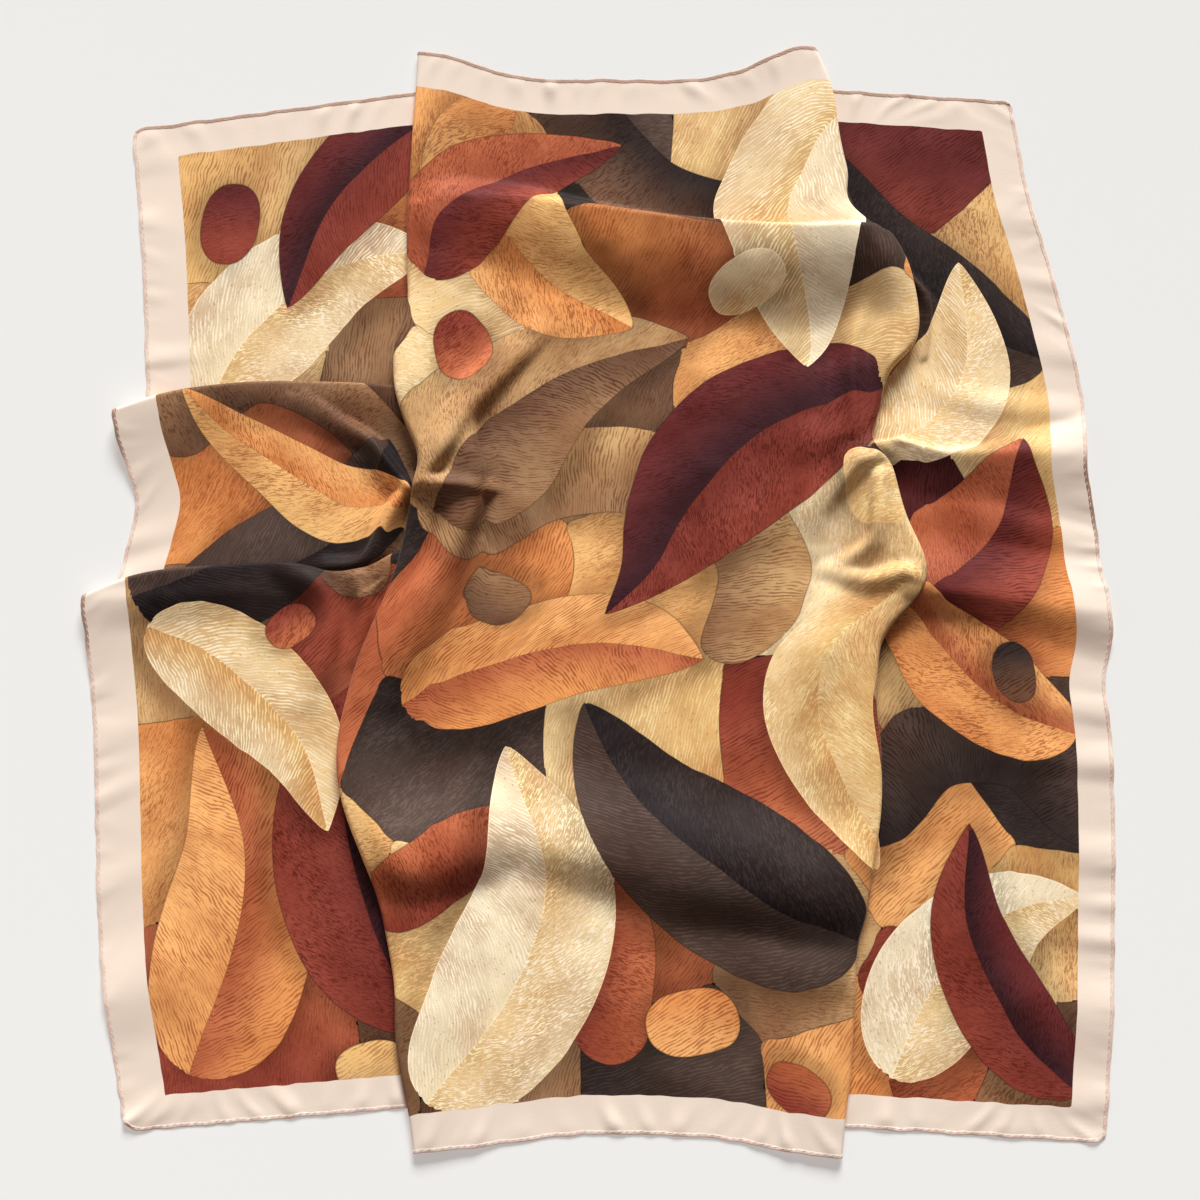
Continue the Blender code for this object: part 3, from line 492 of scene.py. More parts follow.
def side_panel(name):
    """One of the four side stretches: its points and its place on the square."""
    p = PANELS[name]
    left = name.startswith("left")
    folded = name in ("left_mid", "left_lower")
    ends_under = name in ("left_upper", "left_mid")
    pitch = STEP * {"left_mid": 0.74, "left_upper": 0.95}.get(name, 0.88)
    t_end = 1 + (PLEAT_SIDE / p.length if ends_under else 0.0)
    K = int(p.length * t_end / FINE)
    t = np.linspace(0, t_end, K)[:, None]
    wide = p.wide(t)
    tuck = 15.0 if left else 13.0
    bend = lambda d: 1 - np.sqrt(1 - np.clip(1 - d / 6.5, 0, 1) ** 2)     # round end of a fold at the hem
    C = int((p.width + tuck) / pitch)
    n = even(C)[None, :]
    dist = HEM_IN + n * (wide + tuck - HEM_IN)      # from the hem inwards
    if not left:
        dist = dist[:, ::-1]
    s = dist / wide if left else 1 - dist / wide
    x, y = p.plan(s, t)
    flat = np.stack([x, y, np.zeros(x.shape)], axis=2)
    down = lengths(flat)                            # from the top line, in plan
    total = down[-1:, :] - (PLEAT_SIDE if ends_under else 0)
    up = total - down
    inner = (wide - dist)                           # from the centre's fold, - under it
    z = np.full(x.shape, REST)
    if folded:
        near = np.exp(-(dist / 44) ** 2)
        high, far = {"left_mid": (7.8, 58), "left_lower": (5.3, 56)}[name]
        z = z + 3.7 * fall(down, FALL_SHORT) * (1 - near) + high * long_fall(down, far) * near
    rise, sx, sy = crease(name, x, y)
    keep = 1 - 0.45 * smooth(-inner / 14)
    if name == "right":
        zone = smooth((y + 22) / 22) * smooth((88 - y) / 16)
        z = z + 2.8 * fall(np.maximum(inner, 0), 44) * zone
        z = z + fan(x, y, *PINCH_R, -0.25, 0.55, 301, 1.1, 34)
        z = z + fan(x, y, *TIP_R, -0.55, 0.6, 302, 1.0, 34)
    if name == "left_mid":
        z = z + fan(x, y, *PINCH_L, 2.75, 0.6, 303, 0.9, 32)
    if name == "left_lower":
        z = z + fan(x, y, -98, 6, -2.4, 0.6, 304, 0.9, 30)
    if name == "left_upper":
        z = z + fan(x, y, *PINCH_L, 2.2, 0.5, 305, 0.8, 60)
    z = z + rise * keep
    x, y = x + sx * keep, y + sy * keep
    if folded:
        x = x + 2.3 * bend(down) * np.exp(-(dist / 12) ** 2)
    calm = 0.12 + 0.88 * smooth(dist / 60) * smooth(np.minimum(down, 70) / 70 if not folded else 1.0)
    z = z + soft_cloth(name, x, y, 0.45, 110, 40) * calm
    edge = "left" if left else "right"
    u1, w1 = hem_form(name, edge, down, dist)
    z = z + u1
    x = x + (-w1 if left else w1)
    if not folded:
        u2, w2 = hem_form(name, "top", x, down)
        z, y = z + u2, y + w2
    if not ends_under:
        u3, w3 = hem_form(name, "bottom", x, up)
        z, y = z + u3, y - w3
    if ends_under:
        # what is tucked under the next fold lies flat
        z = REST + (z - REST) * smooth((up + 8) / 10)
    top = np.stack([x, y, z], axis=2)
    arc = lengths(top)
    whole = arc[-1:, :]
    if folded:
        # the fold rolls over and its return runs back under it
        a = 1.7
        rows = int(p.length / pitch)
        f = even(rows, lambda q: 1 + 0.9 * np.exp(-(q / 0.16) ** 2))[:, None]
        start = np.array([np.interp(a, down[:, c], arc[:, c]) for c in range(C)])[None, :]
        end = whole - (0 if ends_under else HEM_IN)
        wanted = start + f * (end - start)
        body = reread(top, arc, wanted)
        lie = REST + LAYER
        rows_out, extra = [], []
        for k in range(9, 0, -1):
            e = PLEAT_SIDE * k / 9
            d = np.full((1, C), a + e)
            q = reread(top, down, d)
            q[..., 2] = lie
            rows_out.append(q)
        for phi in np.linspace(pi, 0, 9)[:-1]:
            d = np.full((1, C), a * (1 - sin(phi)))
            q = reread(top, down, d)
            tall = reread(top, down, np.full((1, C), a))[..., 2]
            w = (1 - cos(phi)) / 2
            q[..., 2] = tall * (1 - w) + lie * w
            rows_out.append(q)
        P = np.concatenate(rows_out + [body])
        first = len(rows_out)
        walk = lengths(P)
        walk = walk - walk[first:first + 1, :] + start
        dist_r = np.repeat(dist.mean(0)[None, :], len(P), axis=0)
        dist_rr = np.concatenate([np.repeat(reread(np.broadcast_to(dist, down.shape)[..., None], arc, start)[..., 0], first, axis=0),
                                  reread(np.broadcast_to(dist, down.shape)[..., None], arc, wanted)[..., 0]])
    else:
        rows = int(p.length * t_end / pitch)
        f = even(rows)[:, None]
        wanted = HEM_IN + f * (whole - (0 if ends_under else HEM_IN) - HEM_IN)
        P = reread(top, arc, wanted)
        walk = wanted
        dist_rr = reread(np.broadcast_to(dist, down.shape)[..., None], arc, wanted)[..., 0]
        first = 0
    u = dist_rr if left else CUT - dist_rr
    if name == "left_upper":
        v = CUT - walk
    elif name == "left_mid":
        v = MID_V - walk
    elif name == "left_lower":
        v = (whole - walk)
    else:
        b = smooth(walk / whole)
        v = (1 - b) * (CUT - walk) + b * (whole - walk)
    return P, np.stack([u, v], axis=2)


def centre_panel():
    p = PANELS["centre"]
    pitch = STEP * 1.06
    K = int(p.length / FINE)
    t = np.linspace(0, 1, K)[:, None]
    r = p.row(t)
    wide = p.wide(t)
    ll, lr = r[..., 4], r[..., 5]
    al, ar = np.clip(0.42 * ll, 1.4, 3.2), np.clip(0.42 * lr, 1.4, 3.2)
    depth_l = 11 + 13 * np.exp(-(t / 0.3) ** 2) + 9 * np.exp(-((1 - t) / 0.3) ** 2)
    depth_r = 10 + 15 * np.exp(-(t / 0.3) ** 2) + 3 * np.exp(-((1 - t) / 0.3) ** 2)
    arcs = np.linspace(pi, 0, 9)
    s, w = [], []
    for f in np.linspace(1, 0, 8, endpoint=False):
        s.append((al + depth_l * f) / wide); w.append(1.0)
    for a in arcs[:-1]:
        s.append(al * (1 - sin(a)) / wide); w.append((1 - cos(a)) / 2)
    first = len(s)
    C = int(p.width / pitch)
    for n in even(C):
        s.append((al + n * (wide - al - ar)) / wide); w.append(0.0)
    last = len(s) - 1
    for a in arcs[::-1][1:]:
        s.append(1 - ar * (1 - sin(a)) / wide); w.append((1 - cos(a)) / 2)
    for f in np.linspace(0, 1, 9)[1:]:
        s.append(1 - (ar + depth_r * f) / wide); w.append(1.0)
    s = np.concatenate(s, axis=1)
    w = np.array(w)[None, :]
    x, y = p.plan(s, t)
    d1, d2 = s * wide, (1 - s) * wide
    z = 0.5 + ll * fall(d1, FALL_LONG) + lr * fall(d2, FALL_LONG)
    rise, sx, sy = crease("centre", x, y)
    edge = np.minimum(d1, d2)
    z = z + rise * (0.42 + 0.58 * smooth(edge / 15))
    z = z + fan(x, y, *PINCH_L, 0.2, 0.75, 311, 0.9, 30)
    z = z + fan(x, y, *PINCH_R, 3.6, 0.7, 312, 1.2, 34)
    z = z + fan(x, y, *TIP_R, 3.0, 0.7, 313, 0.9, 30)
    calm = 0.12 + 0.88 * smooth(np.minimum(t, 1 - t) * p.length / 75)
    z = z + soft_cloth("centre", x, y, 0.9, 120, 40) * (0.4 + 0.6 * smooth(edge / 20)) * calm
    down = t * p.length
    u2, w2 = hem_form("centre", "top", x, down + 0 * s)
    u3, w3 = hem_form("centre", "bottom", x, p.length - down + 0 * s)
    z = z + u2 + u3
    # fold edges wander a little, as soft cloth does
    wob = 0.7 * ripple(61, down, 120, 30, 6)
    wob2 = 0.7 * ripple(67, down, 120, 30, 6)
    x = x + sx * (1 - w) + wob * np.exp(-d1 / 20) + wob2 * np.exp(-d2 / 20)
    y = y + sy * (1 - w) + w2 - w3
    below = UNDER.read(x, y)
    lie = np.maximum(below, REST) + LAYER
    lie = np.where(w > 0, lie, 0)
    z = np.maximum(z, (below + 0.9) * (1 - smooth((edge - 26) / 16)) + 0.4)
    z = z * (1 - w) + lie * w
    P = np.stack([x, y, z], axis=2)
    arc = lengths(P)
    whole = arc[-1:, :]
    rows = int(p.length / pitch)
    f = even(rows, lambda q: 1 + 0.5 * smooth((q - 0.08) / 0.08) * smooth((0.62 - q) / 0.12))[:, None]
    wanted = HEM_IN + f * (whole - 2 * HEM_IN)
    P2 = reread(P, arc, wanted)
    across = (s - 0.5) * wide
    U = MID_U + reread(np.broadcast_to(across, x.shape)[..., None], arc, wanted)[..., 0]
    walk = np.concatenate((np.zeros((rows, 1)), np.cumsum(np.linalg.norm(np.diff(P2, axis=1), axis=2), axis=1)), axis=1)
    U[:, :first] = U[:, first:first + 1] - (walk[:, first:first + 1] - walk[:, :first])
    U[:, last + 1:] = U[:, last:last + 1] + (walk[:, last + 1:] - walk[:, last:last + 1])
    b = smooth(wanted / whole)
    V = (1 - b) * (CUT - wanted) + b * (whole - wanted)
    return P2, np.stack([U, V], axis=2)


def normals(P):
    du = np.gradient(P, axis=1)
    dv = np.gradient(P, axis=0)
    n = np.cross(du, -dv)
    return n / np.maximum(np.linalg.norm(n, axis=2, keepdims=True), 1e-9)


# ----------------------------------------------------------------- the print
# A design of its own in flat millimetres, u to the right and v upwards: large
# leaves, arches and pebbles over facets, each drawn as a distance field
# so that its edge stays sharp on the cloth.
FIELD = (21.5, 15.5, 513.0, 513.5)


def lin(r, g, b):
    c = np.array([r, g, b]) / 255.0
    return np.where(c <= 0.04045, c / 12.92, ((c + 0.055) / 1.055) ** 2.4)


INK = {
    "border": lin(226, 205.8, 190), "white": lin(247, 231, 198), "cream": lin(244, 218, 172),
    "straw": lin(238, 201, 143), "ochre": lin(227, 180, 116), "sand": lin(205, 165, 114),
    "taupe": lin(160, 122, 88), "umber": lin(114, 82, 62), "apricot": lin(243, 180, 114),
    "orange": lin(224, 148, 86), "rust": lin(188, 106, 70), "brick": lin(147, 68, 53),
    "wine": lin(105, 44, 44), "plum": lin(61, 31, 37), "char": lin(48, 37, 35),
    "slate": lin(83, 65, 57), "ink": lin(34, 25, 27),
}


def curve_frame(points, u, v, n=70):
    """Nearest point of a curve: share along it, distance along, signed distance to its left."""
    t = np.linspace(0, 1, n)
    path = through(points, t)
    arc = np.concatenate(([0], np.cumsum(np.linalg.norm(np.diff(path, axis=0), axis=1))))
    away = np.gradient(path, axis=0)
    away /= np.linalg.norm(away, axis=1)[:, None]
    k = np.empty(u.shape, int)
    for i in range(0, len(u), 20000):
        a = u[i:i + 20000, None] - path[:, 0]
        b = v[i:i + 20000, None] - path[:, 1]
        k[i:i + 20000] = np.argmin(a * a + b * b, axis=1)
    dx, dy = u - path[k, 0], v - path[k, 1]
    f = dx * away[k, 0] + dy * away[k, 1]
    side = away[k, 0] * dy - away[k, 1] * dx
    s = np.clip(arc[k] + f, -400, arc[-1] + 400)
    s_in = np.clip(s, 0, arc[-1])
    over = np.where(k == 0, np.minimum(f, 0), 0) + np.where(k == n - 1, np.maximum(f, 0), 0)
    return s, s_in / arc[-1], side, over, arc[-1]


def leaf_width(t, blunt, tip):
    w = t ** blunt * (1 - t) ** tip
    top = (blunt / (blunt + tip)) ** blunt * (tip / (blunt + tip)) ** tip
    return w / top


def leaf(points, half, ink, ink2, turn=42.0, blunt=0.5, tip=0.85, lean=0.0, shade=1.0,
         contrast=0.8, rim=0.55, rib=None, half_ink=None, cut=None):
    return dict(kind="leaf", points=points, half=half, ink=ink, ink2=ink2, turn=turn,
                blunt=blunt, tip=tip, lean=lean, shade=shade, contrast=contrast, rim=rim,
                rib=rib, half_ink=half_ink, cut=cut)


def band(points, half, ink, ink2, turn=80.0, contrast=0.8, rim=0.6, half2=None):
    return dict(kind="band", points=points, half=half, half2=half if half2 is None else half2,
                ink=ink, ink2=ink2, turn=turn, contrast=contrast, rim=rim)


def pebble(centre, size, angle, ink, ink2, turn=20.0, contrast=0.8, rim=0.6, power=2.4):
    return dict(kind="pebble", centre=centre, size=size, angle=angle, ink=ink, ink2=ink2,
                turn=turn, contrast=contrast, rim=rim, power=power)


# facets behind everything: middle, ink, second ink, angle of their strokes
GROUND = (
    ((60, 485), "ochre", "sand", 70), ((128, 470), "rust", "orange", 20), ((50, 405), "straw", "ochre", 30),
    ((120, 385), "taupe", "umber", 80), ((64, 318), "orange", "rust", 55), ((150, 310), "char", "slate", 15),
    ((50, 232), "taupe", "sand", 85), ((130, 215), "brick", "rust", 40), ((55, 150), "apricot", "orange", 60),
    ((140, 120), "ochre", "straw", 5), ((70, 50), "rust", "brick", 75), ((165, 40), "umber", "taupe", 30),
    ((205, 495), "orange", "apricot", 80), ((275, 500), "slate", "char", 10), ((345, 492), "straw", "ochre", 60),
    ((215, 425), "straw", "cream", 25), ((300, 430), "rust", "orange", 50), ((385, 440), "char", "slate", 85),
    ((190, 345), "straw", "cream", 0), ((262, 350), "taupe", "umber", 70), ((345, 352), "orange", "apricot", 35),
    ((405, 365), "straw", "ochre", 15), ((205, 262), "rust", "orange", 65), ((290, 268), "apricot", "ochre", 20),
    ((372, 268), "straw", "cream", 80), ((215, 182), "char", "slate", 40), ((300, 180), "straw", "ochre", 75),
    ((382, 180), "rust", "brick", 25), ((205, 98), "straw", "ochre", 15), ((290, 92), "orange", "rust", 55),
    ((372, 88), "taupe", "sand", 5), ((225, 30), "taupe", "umber", 70), ((310, 28), "slate", "char", 20),
    ((395, 30), "apricot", "orange", 60), ((455, 480), "brick", "wine", 35), ((500, 430), "ochre", "sand", 75),
    ((445, 410), "orange", "apricot", 10), ((490, 345), "straw", "ochre", 50), ((440, 320), "wine", "plum", 80),
    ((485, 265), "orange", "rust", 25), ((445, 225), "ochre", "sand", 60), ((495, 180), "char", "slate", 10),
    ((440, 140), "apricot", "orange", 45), ((492, 95), "ochre", "straw", 85), ((450, 50), "brick", "rust", 30),
    ((505, 30), "taupe", "umber", 55),
)

MOTIFS = (
    # ---- arches and bands
    band(((30, 350), (70, 372), (112, 352), (136, 306), (132, 262)), 17, "umber", "taupe"),
    band(((196, 300), (236, 322), (290, 318), (330, 286), (344, 240)), 21, "taupe", "sand", 78),
    band(((262, 512), (300, 470), (352, 455), (404, 470)), 20, "umber", "char", 82),
    band(((420, 150), (446, 180), (486, 184), (514, 160)), 19, "char", "slate", 80),
    band(((186, 118), (226, 140), (262, 128), (284, 92), (282, 50)), 18, "brick", "rust", 76),
    # ---- leaves of the left side
    leaf(((28, 384), (52, 420), (92, 446), (142, 450)), 33, "cream", "white", rim=1.25,
         rib="straw", half_ink="straw", contrast=-0.9),
    leaf(((150, 520), (118, 500), (88, 470), (70, 430)), 24, "wine", "brick", rim=0.6, half_ink="plum"),
    leaf(((24, 250), (62, 262), (104, 292), (128, 338)), 35, "char", "slate", rim=0.6,
         half_ink="ink", contrast=-0.55),
    leaf(((140, 296), (96, 306), (58, 336), (34, 366)), 19, "apricot", "ochre", rim=0.7, half_ink="orange"),
    leaf(((34, 24), (60, 72), (70, 128), (52, 186)), 37, "orange", "apricot", rim=0.7, half_ink="rust"),
    leaf(((152, 36), (128, 90), (118, 150), (140, 212)), 38, "wine", "brick", rim=0.6,
         half_ink="plum", contrast=0.9),
    leaf(((30, 236), (66, 214), (98, 176), (110, 132)), 27, "cream", "straw", rim=1.2,
         half_ink="ochre", contrast=-0.85),
    # ---- leaves of the middle
    leaf(((196, 22), (232, 62), (252, 118), (240, 186)), 38, "cream", "white", rim=1.25,
         half_ink="straw", contrast=-0.95),
    leaf(((400, 96), (352, 112), (306, 148), (276, 204)), 40, "char", "slate", rim=0.55,
         half_ink="ink", contrast=-0.6),
    leaf(((190, 208), (226, 226), (272, 234), (330, 222)), 30, "orange", "apricot", rim=0.65,
         half_ink="rust"),
    leaf(((412, 262), (388, 216), (396, 164), (420, 120)), 26, "straw", "ochre", rim=1.15,
         half_ink="ochre", contrast=-0.7),
    leaf(((404, 348), (352, 336), (304, 300), (270, 250)), 37, "wine", "brick", rim=0.55,
         half_ink="plum", contrast=0.9),
    leaf(((182, 296), (206, 338), (246, 372), (304, 384)), 38, "taupe", "sand", rim=0.55,
         half_ink="umber", contrast=0.85),
    leaf(((236, 514), (222, 470), (234, 424), (276, 392)), 34, "apricot", "ochre", rim=0.7,
         half_ink="orange"),
    leaf(((408, 512), (374, 474), (356, 420), (366, 362)), 37, "cream", "white", rim=1.25,
         half_ink="straw", contrast=-0.95),
    leaf(((178, 420), (200, 452), (236, 482), (286, 496)), 22, "brick", "rust", rim=0.6,
         half_ink="wine"),
    # ---- leaves of the right side
    leaf(((516, 392), (482, 408), (452, 446), (440, 498)), 30, "char", "slate", rim=0.6,
         half_ink="ink", contrast=-0.55),
    leaf(((420, 330), (452, 352), (478, 390), (486, 440)), 24, "cream", "straw", rim=1.2,
         half_ink="straw", contrast=-0.85),
    leaf(((420, 240), (452, 262), (484, 300), (500, 350)), 30, "brick", "rust", rim=0.6,
         half_ink="wine", contrast=0.9),
    leaf(((514, 196), (480, 208), (444, 236), (424, 276)), 27, "apricot", "orange", rim=0.7,
         half_ink="rust"),
    leaf(((430, 24), (448, 68), (480, 104), (516, 116)), 30, "cream", "white", rim=1.2,
         half_ink="straw", contrast=-0.9),
    leaf(((516, 22), (484, 52), (462, 96), (462, 146)), 22, "wine", "brick", rim=0.6, half_ink="plum"),
    # ---- pebbles
    pebble((330, 408), (19, 13), 25, "straw", "cream", contrast=-0.7, rim=1.2),
    pebble((214, 262), (17, 12), -20, "umber", "taupe"),
    pebble((320, 52), (22, 15), 12, "apricot", "orange"),
    pebble((368, 28), (15, 11), -25, "brick", "rust"),
    pebble((392, 300), (14, 19), 10, "ochre", "straw", contrast=-0.6, rim=1.15),
    pebble((98, 232), (13, 9), 35, "rust", "brick"),
    pebble((44, 476), (14, 20), -15, "brick", "wine"),
    pebble((486, 224), (10, 15), 20, "umber", "char"),
    pebble((120, 20), (18, 12), 8, "sand", "ochre"),
    pebble((196, 388), (13, 17), 30, "rust", "brick"),
)


def grain(a, b, degrees):
    c, s = cos(radians(degrees)), sin(radians(degrees))
    return a * c + b * s, -a * s + b * c


def motif_layers(m, u, v, seed):
    """Distance inside, ink and stroke coordinates of one motif's layers."""
    out = []
    if m["kind"] == "leaf":
        s, t, side, over, total = curve_frame(m["points"], u, v)
        w = m["half"] * leaf_width(np.clip(t, 1e-4, 1 - 1e-4), m["blunt"], m["tip"])
        slope = m["half"] * (leaf_width(np.clip(t + 0.01, 1e-4, 1 - 1e-4), m["blunt"], m["tip"])
                             - leaf_width(np.clip(t - 0.01, 1e-4, 1 - 1e-4), m["blunt"], m["tip"])) / (0.02 * total)
        steep = 1 / np.sqrt(1 + np.clip(slope, -4, 4) ** 2)
        d = (w - np.abs(side)) * steep
        d = np.where(over != 0, -np.hypot(over, side), d)
        along, across = grain(s, np.abs(side), m["turn"])
        g = np.clip(0.5 + 0.5 * np.abs(side) / m["half"] + 0.25 * (t - 0.5), 0, 1)
        ink = INK[m["ink"]] * (1 - g[:, None]) + INK[m["ink2"]] * g[:, None]
        out.append((d, ink, along, across, seed, m["contrast"], m["rim"]))
        if m["half_ink"]:
            far = np.clip(-side, 0, None) / m["half"]
            g = smooth(1 - far * 1.15)[:, None]
            shade = INK[m["half_ink"]] * g + INK[m["ink"]] * (1 - g)
            e = np.minimum(d + 0.2, -side + 1.2 * np.sin(t * 9.0) * (1 - t))
            out.append((e, shade, along + 31, across, seed + 0.37, m["contrast"], 1.0 + (m["rim"] - 1.0) * 0.6))
        if m["rib"]:
            pass
    elif m["kind"] == "band":
        s, t, side, over, total = curve_frame(m["points"], u, v)
        half = m["half"] + (m["half2"] - m["half"]) * t
        d = half - np.hypot(side, over)
        along, across = grain(s, side, m["turn"])
        g = smooth(0.5 + 0.5 * side / m["half"])[:, None]
        ink = INK[m["ink"]] * (1 - g) + INK[m["ink2"]] * g
        out.append((d, ink, along, across, seed, m["contrast"], m["rim"]))
    elif m["kind"] == "pebble":
        c, s = cos(radians(m["angle"])), sin(radians(m["angle"]))
        x, y = u - m["centre"][0], v - m["centre"][1]
        x, y = x * c + y * s, -x * s + y * c
        p = m["power"]
        r = (np.abs(x / m["size"][0]) ** p + np.abs(y / m["size"][1]) ** p) ** (1 / p)
        d = (1 - r) * min(m["size"])
        along, across = grain(x, y, m["turn"])
        g = smooth(0.5 + 0.6 * y / m["size"][1])[:, None]
        ink = INK[m["ink"]] * (1 - g) + INK[m["ink2"]] * g
        out.append((d, ink, along, across, seed, m["contrast"], m["rim"]))
    return out


def reach_of(m, more=4):
    if m["kind"] == "pebble":
        c, h = np.array(m["centre"], float), max(m["size"]) + more
        return c - h, c + h
    p = through(m["points"], np.linspace(0, 1, 30))
    h = m["half"] + more
    return p.min(0) - h, p.max(0) + h


def dropped(m, u, v, seed):
    """How much of the light a motif takes from what lies beneath it."""
    reach = 9.0 if m["kind"] == "pebble" else 15.0
    move = 0.35 * reach
    a = seed * 1.3
    d = motif_layers(m, u - move * cos(a), v - move * sin(a), seed)[0][0]
    return 1 - 0.36 * smooth(1 + d / reach) ** 1.5


def print_layers(u, v):
    """All layers of the print at flat points, lowest first: yields (where, layer)."""
    everywhere = np.arange(len(u))
    seeds = np.array([g[0] for g in GROUND], float)
    for n, (mid, one, two, turn) in enumerate(GROUND):
        near = np.flatnonzero((np.abs(u - mid[0]) < 110) & (np.abs(v - mid[1]) < 110))
        if not len(near):
            continue
        p = np.stack([u[near], v[near]], axis=1)
        d = np.full(len(near), 1e3)
        for k in np.argsort(((seeds - mid) ** 2).sum(1))[1:11]:
            gap = seeds[k] - mid
            long = np.hypot(*gap)
            half = ((np.array(mid) + seeds[k]) / 2 - p) @ (gap / long)
            h = np.clip(0.5 + 0.5 * (half - d) / 7.0, 0, 1)
            d = half * (1 - h) + d * h - 7.0 * h * (1 - h) * 0.0
        x, y = p[:, 0] - mid[0], p[:, 1] - mid[1]
        along, across = grain(x, y, turn)
        g = smooth(0.5 + (x * cos(n * 1.7) + y * sin(n * 1.7)) / 70)[:, None]
        ink = INK[one] * (1 - g) + INK[two] * g
        dark = one in ("char", "slate", "plum", "ink")
        contrast = -0.5 if dark else (-0.6 if one in ("straw", "cream") else 0.75)
        yield near, (d, ink, along, across, 3.1 * n, contrast, 0.62)
    for n, m in enumerate(MOTIFS):
        lo, hi = reach_of(m, 24)
        near = np.flatnonzero((u > lo[0]) & (u < hi[0]) & (v > lo[1]) & (v < hi[1]))
        if not len(near):
            continue
        yield near, dropped(m, u[near], v[near], 200 + 5.3 * n)
        lo, hi = reach_of(m)
        near = np.flatnonzero((u > lo[0]) & (u < hi[0]) & (v > lo[1]) & (v < hi[1]))
        if not len(near):
            continue
        for layer in motif_layers(m, u[near], v[near], 200 + 5.3 * n):
            yield near, layer
    # the plain border lies over everything
    # and is a little wider across the middle of the square
    more = smooth((u - 172.0) / 22) * smooth((412.0 - u) / 22)
    d = -np.minimum(np.minimum(u - FIELD[0], FIELD[2] - u),
                    np.minimum(v - FIELD[1] - 2.5 * more, FIELD[3] - 1.5 * more - v))
    yield everywhere, (d, np.repeat(INK["border"][None], len(u), 0), u, v, 900.0, 0.0, 1.0)


# --------------------------------------------------------------------- meshes
def place(P):
    """From the tables' millimetres to metres in the frame."""
    return (np.asarray(P, float) - (MIDDLE[0], MIDDLE[1], 0.0)) * MM


def new_mesh(name, verts, faces):
    """Mesh from an array of points and arrays of faces, each of one size."""
    m = bpy.data.meshes.new(name)
    loops = np.concatenate([f.ravel() for f in faces])
    count = np.concatenate([np.full(len(f), f.shape[1]) for f in faces])
    m.vertices.add(len(verts))
    m.vertices.foreach_set("co", np.ascontiguousarray(verts, np.float32).ravel())
    m.loops.add(len(loops))
    m.loops.foreach_set("vertex_index", loops.astype(np.int32))
    m.polygons.add(len(count))
    m.polygons.foreach_set("loop_start", np.concatenate(([0], np.cumsum(count)[:-1])).astype(np.int32))
    m.polygons.foreach_set("use_smooth", np.ones(len(count), bool))
    m.update(calc_edges=True)
    return m


def new_object(name, mesh, material):
    o = bpy.data.objects.new(name, mesh)
    bpy.context.scene.collection.objects.link(o)
    mesh.materials.append(material)
    return o


def round_corner(P, row, col, radius):
    """Rounds one corner of a grid of cloth, as its rolled hem runs round it."""
    R, C = P.shape[:2]
    rows = range(R) if row == 0 else range(R - 1, -1, -1)
    cols = range(C) if col == 0 else range(C - 1, -1, -1)
    r0, c0 = rows[0], cols[0]
    corner = P[r0, c0].copy()
    down = P[rows[8], c0] - corner
    side = P[r0, cols[8]] - corner
    down[2] = side[2] = 0
    down /= np.linalg.norm(down)
    side /= np.linalg.norm(side)
    G = P[rows[0]:rows[0] + 14] if row == 0 else P[-14:]
    G = G[:, :14] if col == 0 else G[:, -14:]
    d = G - corner
    det = side[0] * down[1] - side[1] * down[0]
    a = (d[..., 0] * down[1] - d[..., 1] * down[0]) / det
    b = (side[0] * d[..., 1] - side[1] * d[..., 0]) / det
    inside = (a < radius) & (b < radius)
    p, q = np.clip(1 - a / radius, 0, 1), np.clip(1 - b / radius, 0, 1)
    na = radius * (1 - p * np.sqrt(1 - q * q / 2))
    nb = radius * (1 - q * np.sqrt(1 - p * p / 2))
    shift = (na - a)[..., None] * side + (nb - b)[..., None] * down
    G += np.where(inside[..., None], shift, 0.0)


